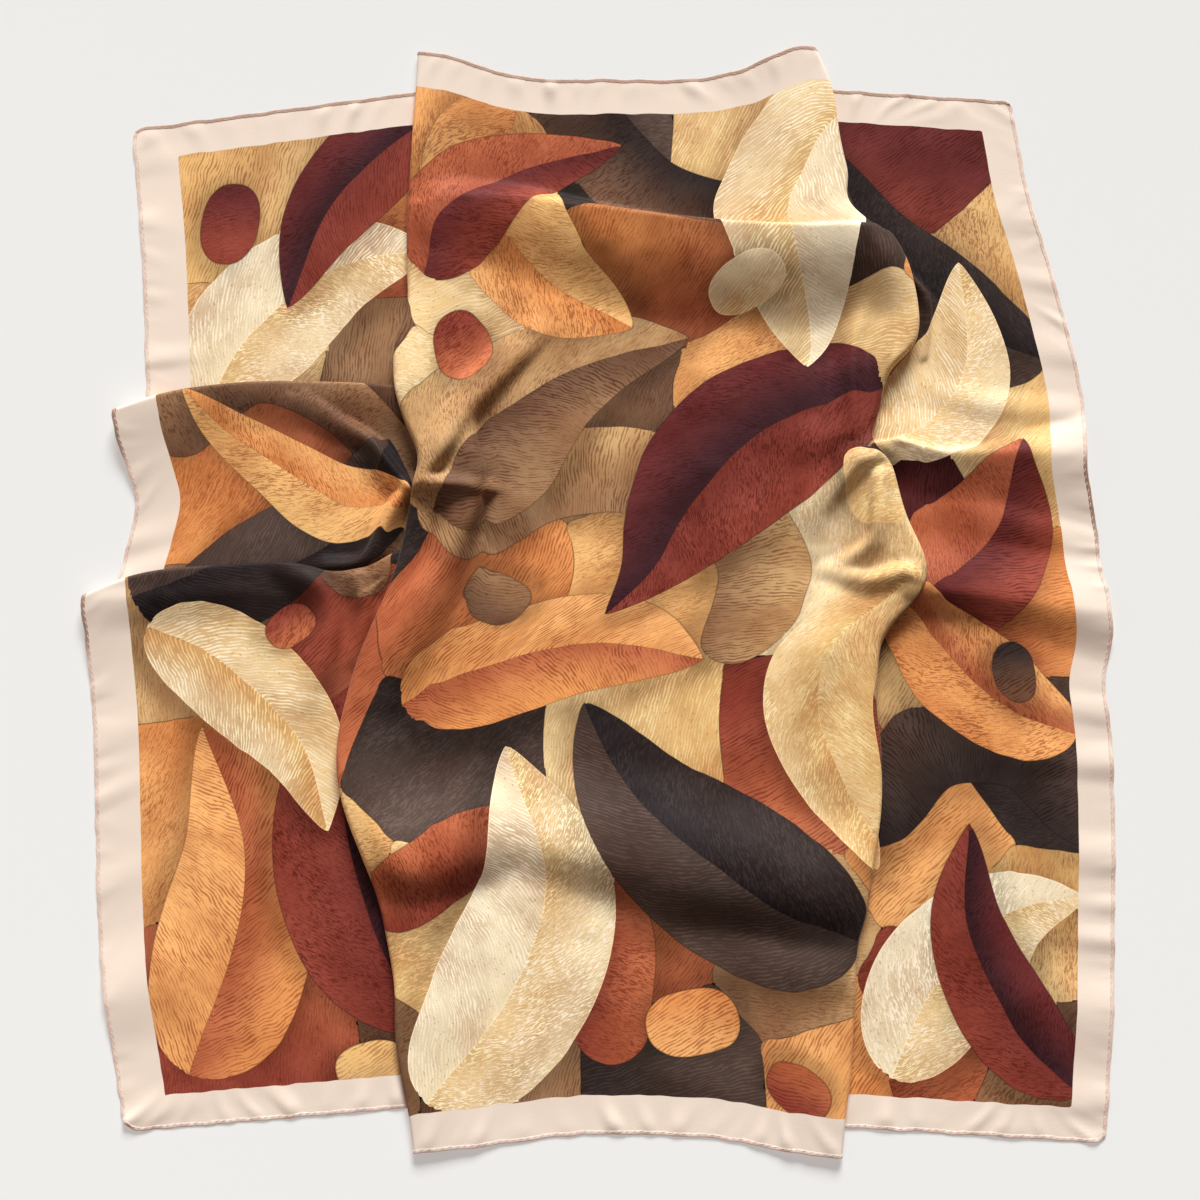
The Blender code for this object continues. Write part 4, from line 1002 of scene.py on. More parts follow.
def shell(name, P, uv):
    """The cloth as a thin closed wall. Returns its mesh and, for each corner
    of each face, the row and column of the grid that it stands on."""
    R, C = P.shape[:2]
    back = P - normals(P) * THIN
    back[..., 2] = np.maximum(back[..., 2], 0.02)
    n = R * C
    idx = np.arange(n).reshape(R, C)
    a, b, c, d = idx[1:, :-1], idx[1:, 1:], idx[:-1, 1:], idx[:-1, :-1]
    front = np.stack([a, b, c, d], axis=2).reshape(-1, 4)
    rear = np.stack([a, d, c, b], axis=2).reshape(-1, 4) + n     # split along the same diagonal
    ring = np.concatenate((idx[0, :-1], idx[:-1, -1], idx[-1, :0:-1], idx[:0:-1, 0]))
    nxt = np.roll(ring, -1)
    rim = np.stack([ring, nxt, nxt + n, ring + n], axis=1)
    verts = np.concatenate((place(P).reshape(-1, 3), place(back).reshape(-1, 3)))
    mesh = new_mesh(name, verts, [front, rear, rim])
    # the wall's own edge is crisp, so that the faces beside it aren't shaded round it
    ends = np.empty(len(mesh.edges) * 2, np.int32)
    mesh.edges.foreach_get("vertices", ends)
    ends = ends.reshape(-1, 2)
    on_ring = np.isin(ends % n, ring).all(1) & ((ends < n).all(1) | (ends >= n).all(1))
    mesh.edges.foreach_set("use_edge_sharp", on_ring)
    corners = np.concatenate((front.ravel(), rear.ravel(), rim.ravel())) % n
    side = np.concatenate((np.zeros(front.size), np.ones(rear.size), np.ones(rim.size)))
    # one map for the export: the front on the left half, the back on the right
    i, j = corners // C, corners % C
    mu = j / (C - 1) * 0.484 + 0.008 + 0.5 * side
    mv = 0.99 - i / (R - 1) * 0.98
    lay = mesh.uv_layers.new(name="OFBake")
    nrim = rim.size
    edge_out = np.tile((0, 0, 1, 1), len(rim))
    mu[-nrim:] -= 0.5
    mu[-nrim:] += edge_out * 0.003 * np.sign(j[-nrim:] / (C - 1) - 0.5)
    mv[-nrim:] -= edge_out * 0.003 * np.sign(i[-nrim:] / (R - 1) - 0.5)
    lay.data.foreach_set("uv", np.stack([mu, mv], axis=1).astype(np.float32).ravel())
    return mesh, corners, side, (len(front), len(rear), len(rim))


def corner_vectors(mesh, name, values):
    """values (corners, up to 3) as a named vector on each face corner."""
    full = np.zeros((len(values), 3), np.float32)
    v = np.asarray(values)
    full[:, :v.shape[1]] = v
    mesh.attributes.new(name, "FLOAT_VECTOR", "CORNER").data.foreach_set("vector", full.ravel())


def resample(path, gap):
    d = np.concatenate(([0], np.cumsum(np.linalg.norm(np.diff(path, axis=0), axis=1))))
    n = max(int(round(d[-1] / gap)), 4)
    w = np.linspace(0, d[-1], n + 1)
    return np.stack([np.interp(w, d, path[:, k]) for k in range(path.shape[1])], axis=1), w


def hem_tube(path, up, seed):
    """Rolled hem along a line: oval, pinched at each stitch, with round ends."""
    both, w = resample(np.concatenate((path, up), axis=1), 0.8)
    path, up = both[:, :3] - (0, 0, HEM_LOW), both[:, 3:]
    tang = np.gradient(path, axis=0)
    tang /= np.linalg.norm(tang, axis=1)[:, None]
    up = up - (up * tang).sum(1)[:, None] * tang
    up /= np.linalg.norm(up, axis=1)[:, None]
    out = np.cross(tang, up)
    sides = 12
    ang = np.arange(sides) * 2 * pi / sides
    pinch = np.exp(-(((w / STITCH) % 1 - 0.5) * STITCH / 0.62) ** 2)
    body = 1 + 0.05 * ripple(seed, w, 26, 5, 8)
    high = HEM_HIGH / 2 * body * (1 - 0.20 * pinch)
    wide = HEM_WIDE / 2 * body * (1 - 0.07 * pinch)
    total = w[-1]
    cap = HEM_WIDE / 2
    close = np.minimum(np.minimum(w, total - w) / cap, 1)
    rows = []
    order = [0.0, 0.3, 0.62, 0.85]
    ring = lambda k, f, ahead: (path[k] + tang[k] * ahead
                                + (np.cos(ang)[:, None] * out[k] * wide[k]
                                   + np.sin(ang)[:, None] * up[k] * high[k]) * f)
    for f in order[1:]:
        rows.append(ring(0, f, -cap * np.sqrt(1 - f * f)))
    for k in range(len(path)):
        rows.append(ring(k, 1.0, 0.0))
    for f in order[:0:-1]:
        rows.append(ring(len(path) - 1, f, cap * np.sqrt(1 - f * f)))
    V = np.stack(rows)
    start = path[0] - tang[0] * cap
    end = path[-1] + tang[-1] * cap
    V[..., 2] = np.maximum(V[..., 2], 0.02)
    n = len(rows)
    idx = np.arange(n * sides).reshape(n, sides)
    a, b = idx[:-1], idx[1:]
    quads = np.stack([a, np.roll(a, -1, 1), np.roll(b, -1, 1), b], axis=2).reshape(-1, 4)
    s, e = n * sides, n * sides + 1
    t1 = np.stack([np.full(sides, s), np.roll(idx[0], -1), idx[0]], axis=1)
    t2 = np.stack([np.full(sides, e), idx[-1], np.roll(idx[-1], -1)], axis=1)
    verts = np.concatenate((V.reshape(-1, 3), start[None], end[None]))
    return verts, quads, np.concatenate((t1, t2)), (path, tang, up, out, w, high, wide)


def stitches(frame_of, seed, inner):
    """Thread of the hem: one short raised dash over the roll's inner shoulder at each pitch."""
    path, tang, up, out, w, high, wide = frame_of
    rng = np.random.default_rng(seed)
    verts, quads = [], []
    count = int(w[-1] / STITCH)
    sides = 6
    ang = np.arange(sides) * 2 * pi / sides
    for n in range(count):
        c = (n + 0.5) * STITCH
        if c < 1.5 or c > w[-1] - 1.5:
            continue
        half = 0.95 + rng.uniform(-0.12, 0.12)
        tilt = 0.80 + rng.uniform(-0.12, 0.12)
        side = inner * (0.48 + rng.uniform(-0.06, 0.06))
        rings = []
        for q, rad in ((-1.06, 0.02), (-0.97, 0.10), (-0.7, 0.15), (0, 0.16), (0.7, 0.15), (0.97, 0.10), (1.06, 0.02)):
            at = c + q * half
            k = lambda v: np.array([np.interp(at, w, v[:, i]) for i in range(3)])
            s = np.clip(side + inner * tilt * q * 0.5, -0.95, 0.95)
            rise = np.sqrt(max(1 - s * s, 0.05))
            p = k(path) + k(out) * s * np.interp(at, w, wide) + k(up) * (rise * np.interp(at, w, high) + 0.05 - 0.16 * abs(q) ** 3)
            rings.append(p + (np.cos(ang)[:, None] * k(out) + np.sin(ang)[:, None] * k(up)) * rad)
        base = len(verts) * 7 * sides
        verts.append(np.concatenate(rings))
        idx = np.arange(7 * sides).reshape(7, sides) + base
        a, b = idx[:-1], idx[1:]
        quads.append(np.stack([a, np.roll(a, -1, 1), np.roll(b, -1, 1), b], axis=2).reshape(-1, 4))
    return verts, quads


def paint(name, mesh, corners, side, uv):
    """Stores the print on the cloth: for each face the ink beneath and up to
    two motifs whose edges cross it."""
    flat = uv.reshape(-1, 2)
    u, v = flat[:, 0], flat[:, 1]
    idx = corners.reshape(-1, 4)
    n = len(idx)
    ink = np.zeros((3, n, 4, 3), np.float32)
    lay = np.zeros((3, n, 4, 3), np.float32)
    dist = np.full((3, n, 4), -99.0, np.float32)
    tone = np.zeros((3, n), np.float32)
    rims = np.ones((3, n), np.float32)
    used = np.zeros(n, int)                 # motifs that cross the face so far
    scratch = np.full(len(u), -99.0)
    number = np.zeros(len(u), int)

    def put(level, faces, vals):
        i = number[idx[faces]]
        d, col, along, across, seed, contrast, rim = vals
        ink[level][faces] = col[i]
        lay[level][faces] = np.stack([along[i], across[i], np.full(i.shape, float(seed))], axis=2)
        dist[level][faces] = d[i]
        tone[level][faces] = contrast
        rims[level][faces] = rim

    shade = np.ones(len(u))
    for near, vals in print_layers(u, v):
        if isinstance(vals, np.ndarray):
            shade[:] = 1.0
            shade[near] = vals
            ink *= shade[idx][None, :, :, None]
            continue
        scratch[:] = -99.0
        scratch[near] = vals[0]
        number[near] = np.arange(len(near))
        dc = scratch[idx]
        lo, hi = dc.min(1), dc.max(1)
        whole = np.flatnonzero(lo > 1.0)
        part = (lo <= 1.0) & (hi > -1.0) & (lo > -90)
        if len(whole):
            put(0, whole, vals)
            dist[1][whole] = dist[2][whole] = -99.0
            used[whole] = 0
        third = np.flatnonzero(part & (used == 2))
        if len(third):
            take = third[dist[1][third].mean(1) > 0]
            for store in (ink, lay, dist, tone, rims):
                store[0][take] = store[1][take]
            for store in (ink, lay, dist, tone, rims):
                store[1][third] = store[2][third]
            put(2, third, vals)
        second = np.flatnonzero(part & (used == 1))
        if len(second):
            put(2, second, vals)
            used[second] = 2
        first = np.flatnonzero(part & (used == 0))
        if len(first):
            put(1, first, vals)
            used[first] = 1

    four = lambda x: np.repeat(x[:, None], 4, 1)
    for k, letter in enumerate("abc"):
        corner_vectors(mesh, "ink_" + letter, ink[k].reshape(-1, 3))
        corner_vectors(mesh, "lay_" + letter, lay[k].reshape(-1, 3))
    corner_vectors(mesh, "edge", np.stack([dist[1], dist[2], four(rims[1])], axis=2).reshape(-1, 3))
    corner_vectors(mesh, "tone", np.stack([four(tone[0]), four(tone[1]), four(tone[2])], axis=2).reshape(-1, 3))
    corner_vectors(mesh, "more", np.stack([four(rims[2]), side.reshape(-1, 4), four(rims[2] * 0)], axis=2).reshape(-1, 3))


# ------------------------------------------------------------------ materials
class Graph:
    """Short words for shader nodes."""

    def __init__(self, name):
        self.material = bpy.data.materials.new(name)
        self.material.use_nodes = True
        self.tree = self.material.node_tree
        self.bsdf = self.tree.nodes["Principled BSDF"]

    def node(self, kind, **props):
        n = self.tree.nodes.new(kind)
        for k, v in props.items():
            setattr(n, k, v)
        return n

    def feed(self, socket, value):
        if hasattr(value, "is_output"):
            self.tree.links.new(value, socket)
        elif value is not None:
            socket.default_value = value

    def math(self, op, a, b=None, c=None, clamp=False):
        n = self.node("ShaderNodeMath", operation=op, use_clamp=clamp)
        for s, v in zip(n.inputs, (a, b, c)):
            self.feed(s, v)
        return n.outputs[0]

    def vec(self, op, a, b=None, scale=None):
        n = self.node("ShaderNodeVectorMath", operation=op)
        self.feed(n.inputs[0], a)
        if b is not None:
            self.feed(n.inputs[1], b)
        if scale is not None:
            self.feed(n.inputs["Scale"], scale)
        return n.outputs["Value" if op == "LENGTH" else "Vector"]

    def attr(self, name):
        return self.node("ShaderNodeAttribute", attribute_name=name, attribute_type="GEOMETRY").outputs["Vector"]

    def parts(self, v):
        n = self.node("ShaderNodeSeparateXYZ")
        self.feed(n.inputs[0], v)
        return n.outputs

    def join(self, x, y, z):
        n = self.node("ShaderNodeCombineXYZ")
        for s, v in zip(n.inputs, (x, y, z)):
            self.feed(s, v)
        return n.outputs[0]

    def between(self, value, a, b, to=(0.0, 1.0), soft=True):
        n = self.node("ShaderNodeMapRange", interpolation_type="SMOOTHSTEP" if soft else "LINEAR")
        self.feed(n.inputs["Value"], value)
        n.inputs["From Min"].default_value = a
        n.inputs["From Max"].default_value = b
        n.inputs["To Min"].default_value, n.inputs["To Max"].default_value = to
        return n.outputs["Result"]

    def mix(self, f, a, b):
        n = self.node("ShaderNodeMix", data_type="VECTOR")
        self.feed(n.inputs["Factor"], f)
        socks = [s for s in n.inputs if s.type == "VECTOR"]
        self.feed(socks[-2], a)
        self.feed(socks[-1], b)
        return [s for s in n.outputs if s.type == "VECTOR"][0]

    def noise(self, vector, scale=1.0, detail=1.0, rough=0.5):
        n = self.node("ShaderNodeTexNoise", noise_dimensions="3D")
        self.feed(n.inputs["Vector"], vector)
        n.inputs["Scale"].default_value = scale
        n.inputs["Detail"].default_value = detail
        n.inputs["Roughness"].default_value = rough
        return n.outputs["Fac"]

    def bump(self, height, strength, distance):
        n = self.node("ShaderNodeBump")
        n.inputs["Strength"].default_value = strength
        n.inputs["Distance"].default_value = distance
        self.feed(n.inputs["Height"], height)
        self.feed(self.bsdf.inputs["Normal"], n.outputs["Normal"])


def satin(g, rough, sheen, shine):
    b = g.bsdf.inputs
    b["Roughness"].default_value = rough
    b["Specular IOR Level"].default_value = shine
    b["Sheen Weight"].default_value = sheen
    b["Sheen Roughness"].default_value = 0.38
    b["Sheen Tint"].default_value = (1.0, 0.96, 0.9, 1)


def silk_material():
    g = Graph("silk_print")
    edge, more, tone = g.parts(g.attr("edge")), g.parts(g.attr("more")), g.parts(g.attr("tone"))
    mb = g.between(edge[0], -0.13, 0.13)
    mc = g.between(edge[1], -0.13, 0.13)
    ink = g.mix(mc, g.mix(mb, g.attr("ink_a"), g.attr("ink_b")), g.attr("ink_c"))
    lay = g.mix(mc, g.mix(mb, g.attr("lay_a"), g.attr("lay_b")), g.attr("lay_c"))
    blend = lambda f, a, b: g.math("ADD", g.math("MULTIPLY", a, g.math("SUBTRACT", 1.0, f)), g.math("MULTIPLY", b, f))
    con = blend(mc, blend(mb, tone[0], tone[1]), tone[2])
    drawn = g.between(g.math("ABSOLUTE", con), 0.05, 0.35)      # nothing on the plain border
    p = g.parts(lay)

    # broad wash, as ink lies a little unevenly over a motif
    wash = g.between(g.noise(g.vec("MULTIPLY", lay, (1 / 40, 1 / 30, 1.0)), 1.0, 2.0), 0.30, 0.68)
    washed = g.mix(wash, g.vec("MULTIPLY", ink, (0.76, 0.63, 0.57)), g.vec("MULTIPLY", ink, (1.06, 1.05, 1.04)))
    ink = g.mix(drawn, ink, washed)

    # engraved strokes that follow each motif: short ones, or long broken lines
    kind = g.node("ShaderNodeTexWhiteNoise", noise_dimensions="1D")
    g.feed(kind.inputs["W"], g.math("ADD", g.math("ROUND", g.math("MULTIPLY", p[2], 20.0)), 0.5))
    kind = kind.outputs["Value"]
    bend = g.math("MULTIPLY", g.math("SUBTRACT", g.noise(g.vec("MULTIPLY", lay, (1 / 11, 1 / 11, 1.0)), 1.0, 1.0), 0.5), 3.4)
    across = g.math("ADD", p[1], bend)
    n1 = g.noise(g.join(g.math("MULTIPLY", p[0], 1 / 3.9), g.math("MULTIPLY", across, 1 / 0.60), p[2]), 1.0, 1.0, 0.5)
    n2 = g.noise(g.join(g.math("MULTIPLY", p[0], 1 / 1.5), g.math("MULTIPLY", across, 1 / 0.42), g.math("ADD", p[2], 7.0)), 1.0, 0.0)
    short = g.between(g.math("ADD", g.math("MULTIPLY", n1, 0.74), g.math("MULTIPLY", n2, 0.26)), 0.49, 0.575)
    drift = g.noise(g.join(g.math("MULTIPLY", p[0], 1 / 16), g.math("MULTIPLY", across, 1 / 10), g.math("ADD", p[2], 3.0)), 1.0, 0.0)
    comb = g.math("SINE", g.math("MULTIPLY", g.math("ADD", g.math("MULTIPLY", across, 1 / 1.5), g.math("MULTIPLY", drift, 1.8)), 2 * pi))
    cut = g.noise(g.join(g.math("MULTIPLY", p[0], 1 / 5.2), g.math("MULTIPLY", across, 1 / 1.5), g.math("ADD", p[2], 11.0)), 1.0, 1.0)
    long = g.between(g.math("ADD", g.math("MULTIPLY", comb, 0.20), cut), 0.50, 0.70)
    stroke = blend(g.between(kind, 0.40, 0.60), short, long)
    # they are dense in one place and nearly gone in another
    dense = g.between(g.noise(g.join(g.math("MULTIPLY", p[0], 1 / 26), g.math("MULTIPLY", p[1], 1 / 17), g.math("ADD", p[2], 19.0)), 1.0, 1.0), 0.34, 0.62, (0.45, 1.0))
    stroke = g.math("MULTIPLY", stroke, dense)
    dark_much = g.math("MULTIPLY", stroke, g.math("MAXIMUM", con, 0.0), clamp=True)
    light_part = g.math("MAXIMUM", g.math("MULTIPLY", con, -1.0), 0.0)
    light_much = g.math("MULTIPLY", stroke, light_part, clamp=True)
    green = g.parts(ink)[1]
    lit = g.vec("ADD", g.vec("SCALE", ink, scale=1.75), (0.016, 0.012, 0.009))
    lit = g.vec("ADD", lit, g.join(0.0, 0.0, g.math("MULTIPLY", g.math("MULTIPLY", green, green), 0.45)))
    lit = g.vec("MINIMUM", lit, (0.92, 0.77, 0.58))
    # the ground between light strokes is a little deeper than the ink itself
    ink = g.vec("SCALE", ink, scale=g.math("SUBTRACT", 1.0, g.math("MULTIPLY", light_part, 0.17)))
    ink = g.mix(dark_much, ink, g.vec("MULTIPLY", ink, (0.44, 0.28, 0.26)))
    ink = g.mix(light_much, ink, lit)
    # sparse darker dots
    dots = g.noise(g.join(g.math("MULTIPLY", p[0], 1 / 1.7), g.math("MULTIPLY", across, 1 / 0.8), g.math("ADD", p[2], 29.0)), 1.0, 0.0)
    dots = g.math("MULTIPLY", g.between(dots, 0.72, 0.80), g.math("MULTIPLY", drawn, 0.55))
    ink = g.mix(dots, ink, g.vec("MULTIPLY", ink, (0.55, 0.38, 0.34)))

    # thin outlines
    line_b = g.math("MULTIPLY", g.between(g.math("ABSOLUTE", edge[0]), 0.42, 0.20), g.math("SUBTRACT", 1.0, mc))
    line_c = g.between(g.math("ABSOLUTE", edge[1]), 0.42, 0.20)
    ink = g.vec("SCALE", ink, scale=blend(line_b, 1.0, edge[2]))
    ink = g.vec("SCALE", ink, scale=blend(line_c, 1.0, more[0]))

    # the reverse shows the print through the silk, paler
    ink = g.mix(g.math("MULTIPLY", more[1], 0.30), ink, (0.74, 0.62, 0.52))
    # the weave: fine diagonal lines that take the ink unevenly
    flat = g.attr("flat")
    f = g.parts(flat)
    twill = g.math("SINE", g.math("MULTIPLY", g.math("ADD", f[0], f[1]), 2 * pi / 0.9))
    speck = g.noise(g.vec("MULTIPLY", flat, (1.7, 1.7, 1.0)), 1.0, 1.0)
    weave = g.math("ADD", speck, g.math("MULTIPLY", twill, 0.05))
    spread = g.between(weave, 0.22, 0.78, (-1.0, 1.0), soft=False)
    ink = g.vec("SCALE", ink, scale=g.math("ADD", 1.0, g.math("MULTIPLY", spread, blend(drawn, 0.035, 0.085))))
    g.feed(g.bsdf.inputs["Base Color"], ink)
    # painted light: the underside glows faintly in its own ink, standing in for light that passes through the thin silk
    g.feed(g.bsdf.inputs["Emission Color"], ink)
    g.feed(g.bsdf.inputs["Emission Strength"], g.math("MULTIPLY", more[1], 0.16))
    satin(g, 0.58, 0.12, 0.085)

    slack = g.noise(g.vec("MULTIPLY", flat, (0.75, 0.75, 1.0)), 1.0, 2.0)
    g.bump(g.math("ADD", g.math("MULTIPLY", twill, 0.12), slack), 0.30, 0.00012)
    return g.material


def hem_material():
    g = Graph("silk_hem")
    tex = g.node("ShaderNodeTexCoord").outputs["Object"]
    n = g.noise(tex, 340.0, 1.0)
    ink = g.mix(g.between(n, 0.3, 0.7), (0.72, 0.565, 0.485), (0.80, 0.655, 0.575))
    # painted shade: the roll is drawn darker on the top hems and on the stretches where it turns up, as its shaded
    # underside would look, and darkest on the top hems' outer side
    over = g.parts(g.attr("painted_shade"))
    ink = g.mix(over[1], g.mix(over[0], ink, (0.50, 0.345, 0.265)), (0.25, 0.155, 0.112))
    g.feed(g.bsdf.inputs["Base Color"], ink)
    # light passes through the thin roll
    g.bsdf.inputs["Subsurface Weight"].default_value = 0.7
    g.bsdf.inputs["Subsurface Radius"].default_value = (1.0, 0.6, 0.45)
    g.bsdf.inputs["Subsurface Scale"].default_value = 0.0009
    satin(g, 0.5, 0.12, 0.12)
    g.bump(g.noise(tex, 900.0, 1.0), 0.25, 0.0001)
    return g.material


def thread_material():
    g = Graph("hem_thread")
    tex = g.node("ShaderNodeTexCoord").outputs["Object"]
    ink = g.mix(g.noise(tex, 800.0, 0.0), (0.56, 0.38, 0.32), (0.64, 0.45, 0.38))
    # painted light and shade: the one thread is drawn darker where pale is low, on the top hems, as the shade between
    # stitches looks, and paler on the side and bottom hems
    ink = g.mix(g.parts(g.attr("pale"))[0], ink, (0.86, 0.72, 0.63))
    g.feed(g.bsdf.inputs["Base Color"], ink)
    g.bsdf.inputs["Roughness"].default_value = 0.6
    g.bsdf.inputs["Specular IOR Level"].default_value = 0.15
    return g.material


SILK, HEM, THREAD = silk_material(), hem_material(), thread_material()


# ------------------------------------------------------------------ the pieces
SIDE = ("left_upper", "left_mid", "left_lower", "right")
grids = {}
for name in SIDE:
    grids[name] = side_panel(name)
    UNDER.add(grids[name][0])
UNDER.settle()
grids["centre"] = centre_panel()
round_corner(grids["left_upper"][0], 0, 0, 4.0)
round_corner(grids["left_lower"][0], -1, 0, 6.5)
round_corner(grids["right"][0], 0, -1, 3.5)
round_corner(grids["right"][0], -1, -1, 3.0)

REPLACED = {
    "centre": ("cloth_centre", "folds_left_upper", "folds_left_lower",
               "folds_right_upper", "folds_right_lower"),
    "right": ("cloth_right",),
    "left_upper": ("cloth_left_upper",),
    "left_mid": ("cloth_left_mid", "folds_mid"),
    "left_lower": ("cloth_left_lower", "folds_lower"),
}
for name, (P, uv) in grids.items():
    mesh, corners, side, counts = shell("silk_" + name, P, uv)
    paint(name, mesh, corners, side, uv)
    corner_vectors(mesh, "flat", uv.reshape(-1, 2)[corners])
    o = new_object("silk_" + name, mesh, SILK)
    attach(o, "root")
    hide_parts(*REPLACED[name])
    print("piece", o.name, len(mesh.polygons), "faces")

# piece, panel, which side of its grid, which way its outside lies
HEMS = (
    ("hem_centre_top", "centre", "top"), ("hem_centre_bottom", "centre", "bottom"),
    ("hem_left_top", "left_upper", "top"), ("hem_left_side_upper", "left_upper", "left"),
    ("hem_left_side_mid", "left_mid", "left"), ("hem_left_side_lower", "left_lower", "left"),
    ("hem_left_bottom", "left_lower", "bottom"), ("hem_right_top", "right", "top"),
    ("hem_right_side", "right", "right"), ("hem_right_bottom", "right", "bottom"),
)
# stretches of hem drawn in painted shade, as their shaded underside would look where they turn up: panel, side, from
# and to along it
SHADED_STRETCHES = (("left_mid", "left", 2, 50), ("left_lower", "left", 2, 52), ("right", "right", 180, 222))
thread_v, thread_q, thread_pale = [], [], []
hem_of = {}
for k, (node, panel, where) in enumerate(HEMS):
    P = grids[panel][0]
    N = normals(P)
    take = {"top": np.s_[0, :], "bottom": np.s_[-1, :], "left": np.s_[:, 0], "right": np.s_[:, -1]}[where]
    path, up = P[take].copy(), N[take].copy()
    verts, quads, tris, line = hem_tube(path, up, 500 + k)
    mesh = new_mesh("roll_" + node[4:], place(verts), [quads, tris])
    inward = P[{"top": np.s_[3, :], "bottom": np.s_[-4, :], "left": np.s_[:, 3], "right": np.s_[:, -4]}[where]] - path
    # out = tangent x up: the cloth is on that side of the roll, or on the other
    inner = 1 if (np.cross(np.gradient(path, axis=0), up) * inward).sum() > 0 else -1
    outer = -inner * np.cos(np.arange(len(verts)) * pi / 6)
    ring_at = np.interp(np.arange(len(verts)), np.arange(len(line[4])) * 12 + 36, line[4])
    # painted shade: top hems are drawn dark, side hems a little, bottom hems not at all
    painted_shade = np.full(len(verts), {"top": 0.80, "bottom": 0.0}.get(where, 0.30))
    # painted shade: darkest on the outer side of the top hems
    deep = 0.6 * smooth(0.75 + outer) if where == "top" else np.zeros(len(verts))
    for of_panel, at_side, a, b in SHADED_STRETCHES:
        if (of_panel, at_side) == (panel, where):
            # painted shade along the listed stretches
            over = smooth((ring_at - a) / 10 + 0.5) * smooth((b - ring_at) / 14 + 0.5)
            painted_shade, deep = np.maximum(painted_shade, over), np.maximum(deep, 0.45 * over)
    loops = np.concatenate((quads.ravel(), tris.ravel()))
    corner_vectors(mesh, "painted_shade", np.stack([painted_shade, deep], axis=1)[loops])
    o = new_object("roll_" + node[4:], mesh, HEM)
    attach(o, "root")
    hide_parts(node)
    hem_of.setdefault(panel, []).append(o)
    v, q = stitches(line, 700 + k, inner)
    base = sum(len(x) for x in thread_v)
    thread_v += v
    # painted light and shade: the same thread is drawn pale on the side hems, nearly so on the bottom ones and dark on
    # the top ones
    thread_pale += [np.full(len(x), {"left": 1.0, "right": 1.0, "bottom": 0.75}.get(where, 0.0)) for x in v]
    thread_q += [x + base for x in q]
mesh = new_mesh("hem_stitches", place(np.concatenate(thread_v)), [np.concatenate(thread_q)])
corner_vectors(mesh, "pale", np.concatenate(thread_pale)[np.concatenate(thread_q).ravel()][:, None])
thread = new_object("hem_stitches", mesh, THREAD)
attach(thread, "root")

floor = None


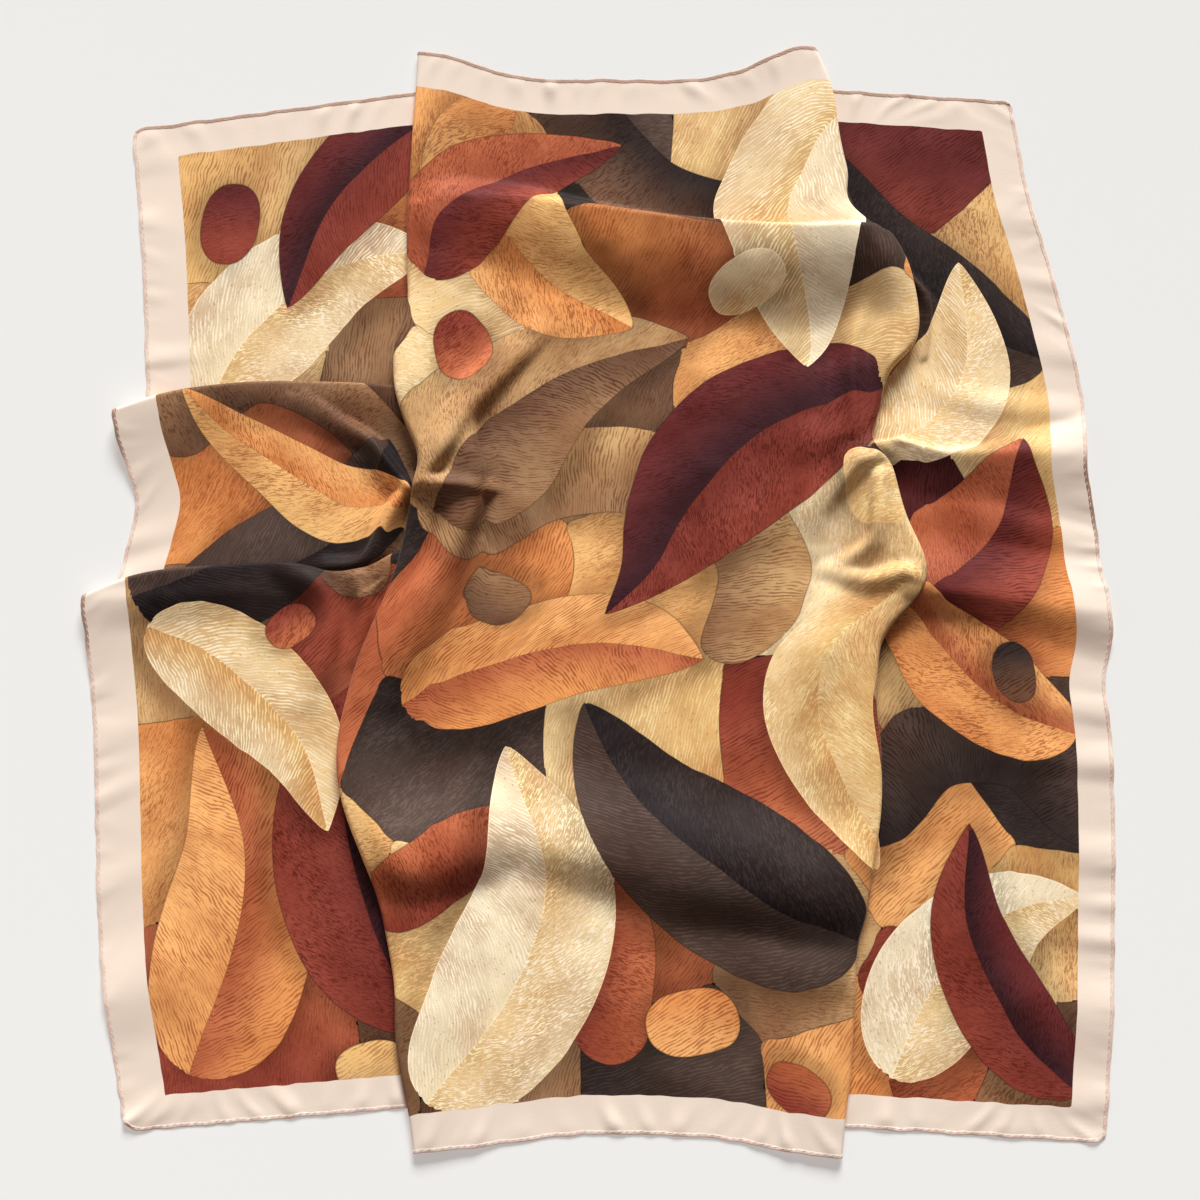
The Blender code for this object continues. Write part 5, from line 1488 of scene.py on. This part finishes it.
# ------------------------------------------------- floor, camera and the light
def plain_floor():
    m = bpy.data.materials.new("pale_floor")
    m.use_nodes = True
    nt = m.node_tree
    b = nt.nodes["Principled BSDF"]
    geo = nt.nodes.new("ShaderNodeNewGeometry")
    xyz = nt.nodes.new("ShaderNodeSeparateXYZ")
    ramp = nt.nodes.new("ShaderNodeMapRange")
    mix = nt.nodes.new("ShaderNodeMix")
    mix.data_type = "RGBA"
    nt.links.new(geo.outputs["Position"], xyz.inputs[0])
    nt.links.new(xyz.outputs["Y"], ramp.inputs["Value"])
    ramp.inputs["From Min"].default_value = -0.35
    ramp.inputs["From Max"].default_value = 0.40
    nt.links.new(ramp.outputs["Result"], mix.inputs["Factor"])
    mix.inputs["A"].default_value = (0.803 * 0.60, 0.790 * 0.60, 0.773 * 0.60, 1)
    mix.inputs["B"].default_value = (0.685 * 0.60, 0.676 * 0.60, 0.660 * 0.60, 1)
    nt.links.new(mix.outputs["Result"], b.inputs["Base Color"])
    b.inputs["Roughness"].default_value = 0.6
    b.inputs["Specular IOR Level"].default_value = 0.03
    # painted light: the floor glows a little on its own, which lightens the shadows that fall on it
    b.inputs["Emission Color"].default_value = (0.872, 0.838, 0.824, 1)
    b.inputs["Emission Strength"].default_value = 0.40
    mesh = bpy.data.meshes.new("floor")
    mesh.from_pydata([(-9, -9, -0.00003), (9, -9, -0.00003), (9, 9, -0.00003), (-9, 9, -0.00003)], [], [(0, 1, 2, 3)])
    return new_object("floor", mesh, m)


floor = plain_floor()

scene = bpy.context.scene
cam = bpy.data.cameras.new("camera")
cam.sensor_fit = "HORIZONTAL"
cam.sensor_width = 36.0
cam.lens = 78.0
cam.clip_start = 0.01
eye = bpy.data.objects.new("camera", cam)
scene.collection.objects.link(eye)
turn = Matrix(((0.999606, 0.0, 0.028066), (0.003680, 0.991367, -0.131062), (-0.027824, 0.131114, 0.990977)))
turn = turn.to_quaternion().to_matrix()
eye.matrix_world = Matrix.Translation((0.037771, -0.167172, 1.223856)) @ turn.to_4x4()
scene.camera = eye


def area(name, where, aim, size, power, colour):
    d = bpy.data.lights.new(name, "AREA")
    d.shape = "RECTANGLE"
    d.size, d.size_y = size
    d.energy = power
    d.color = colour
    o = bpy.data.objects.new(name, d)
    scene.collection.objects.link(o)
    o.location = where
    o.rotation_euler = (Vector(aim) - Vector(where)).to_track_quat("-Z", "Y").to_euler()
    return o


# a wide window beyond the top hem, and pale walls all round
area("window", (1.37, 11.5, 6.0), (0, 0, 0), (6.0, 4.6), 3550.0, (0.955, 1.0, 1.0))
area("room", (-0.9, -0.8, 2.3), (0, 0, 0), (2.6, 2.6), 3.0, (1.10, 0.97, 0.92))
area("left_wall", (-2.0, 0.1, 1.1), (0, 0, 0), (1.8, 1.4), 8.5, (1.06, 0.98, 0.95))
world = bpy.data.worlds.new("room_light")
scene.world = world
world.use_nodes = True
world.node_tree.nodes["Background"].inputs["Color"].default_value = (1.14, 0.96, 0.90, 1)
world.node_tree.nodes["Background"].inputs["Strength"].default_value = 0.13
scene.view_settings.view_transform = "Standard"
scene.view_settings.look = "None"

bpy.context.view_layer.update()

SHEETS = (
    ("centre", (0.30, 0.53), ("floor",)), ("right", (0.12, 0.51), ("floor",)),
    ("left_upper", (0.15, 0.17), ("floor",)), ("left_mid", (0.15, 0.12), ("floor",)),
    ("left_lower", (0.15, 0.28), ("floor",)),
)
for name, flat, under in SHEETS:
    [o.name for o in hem_of[name]]
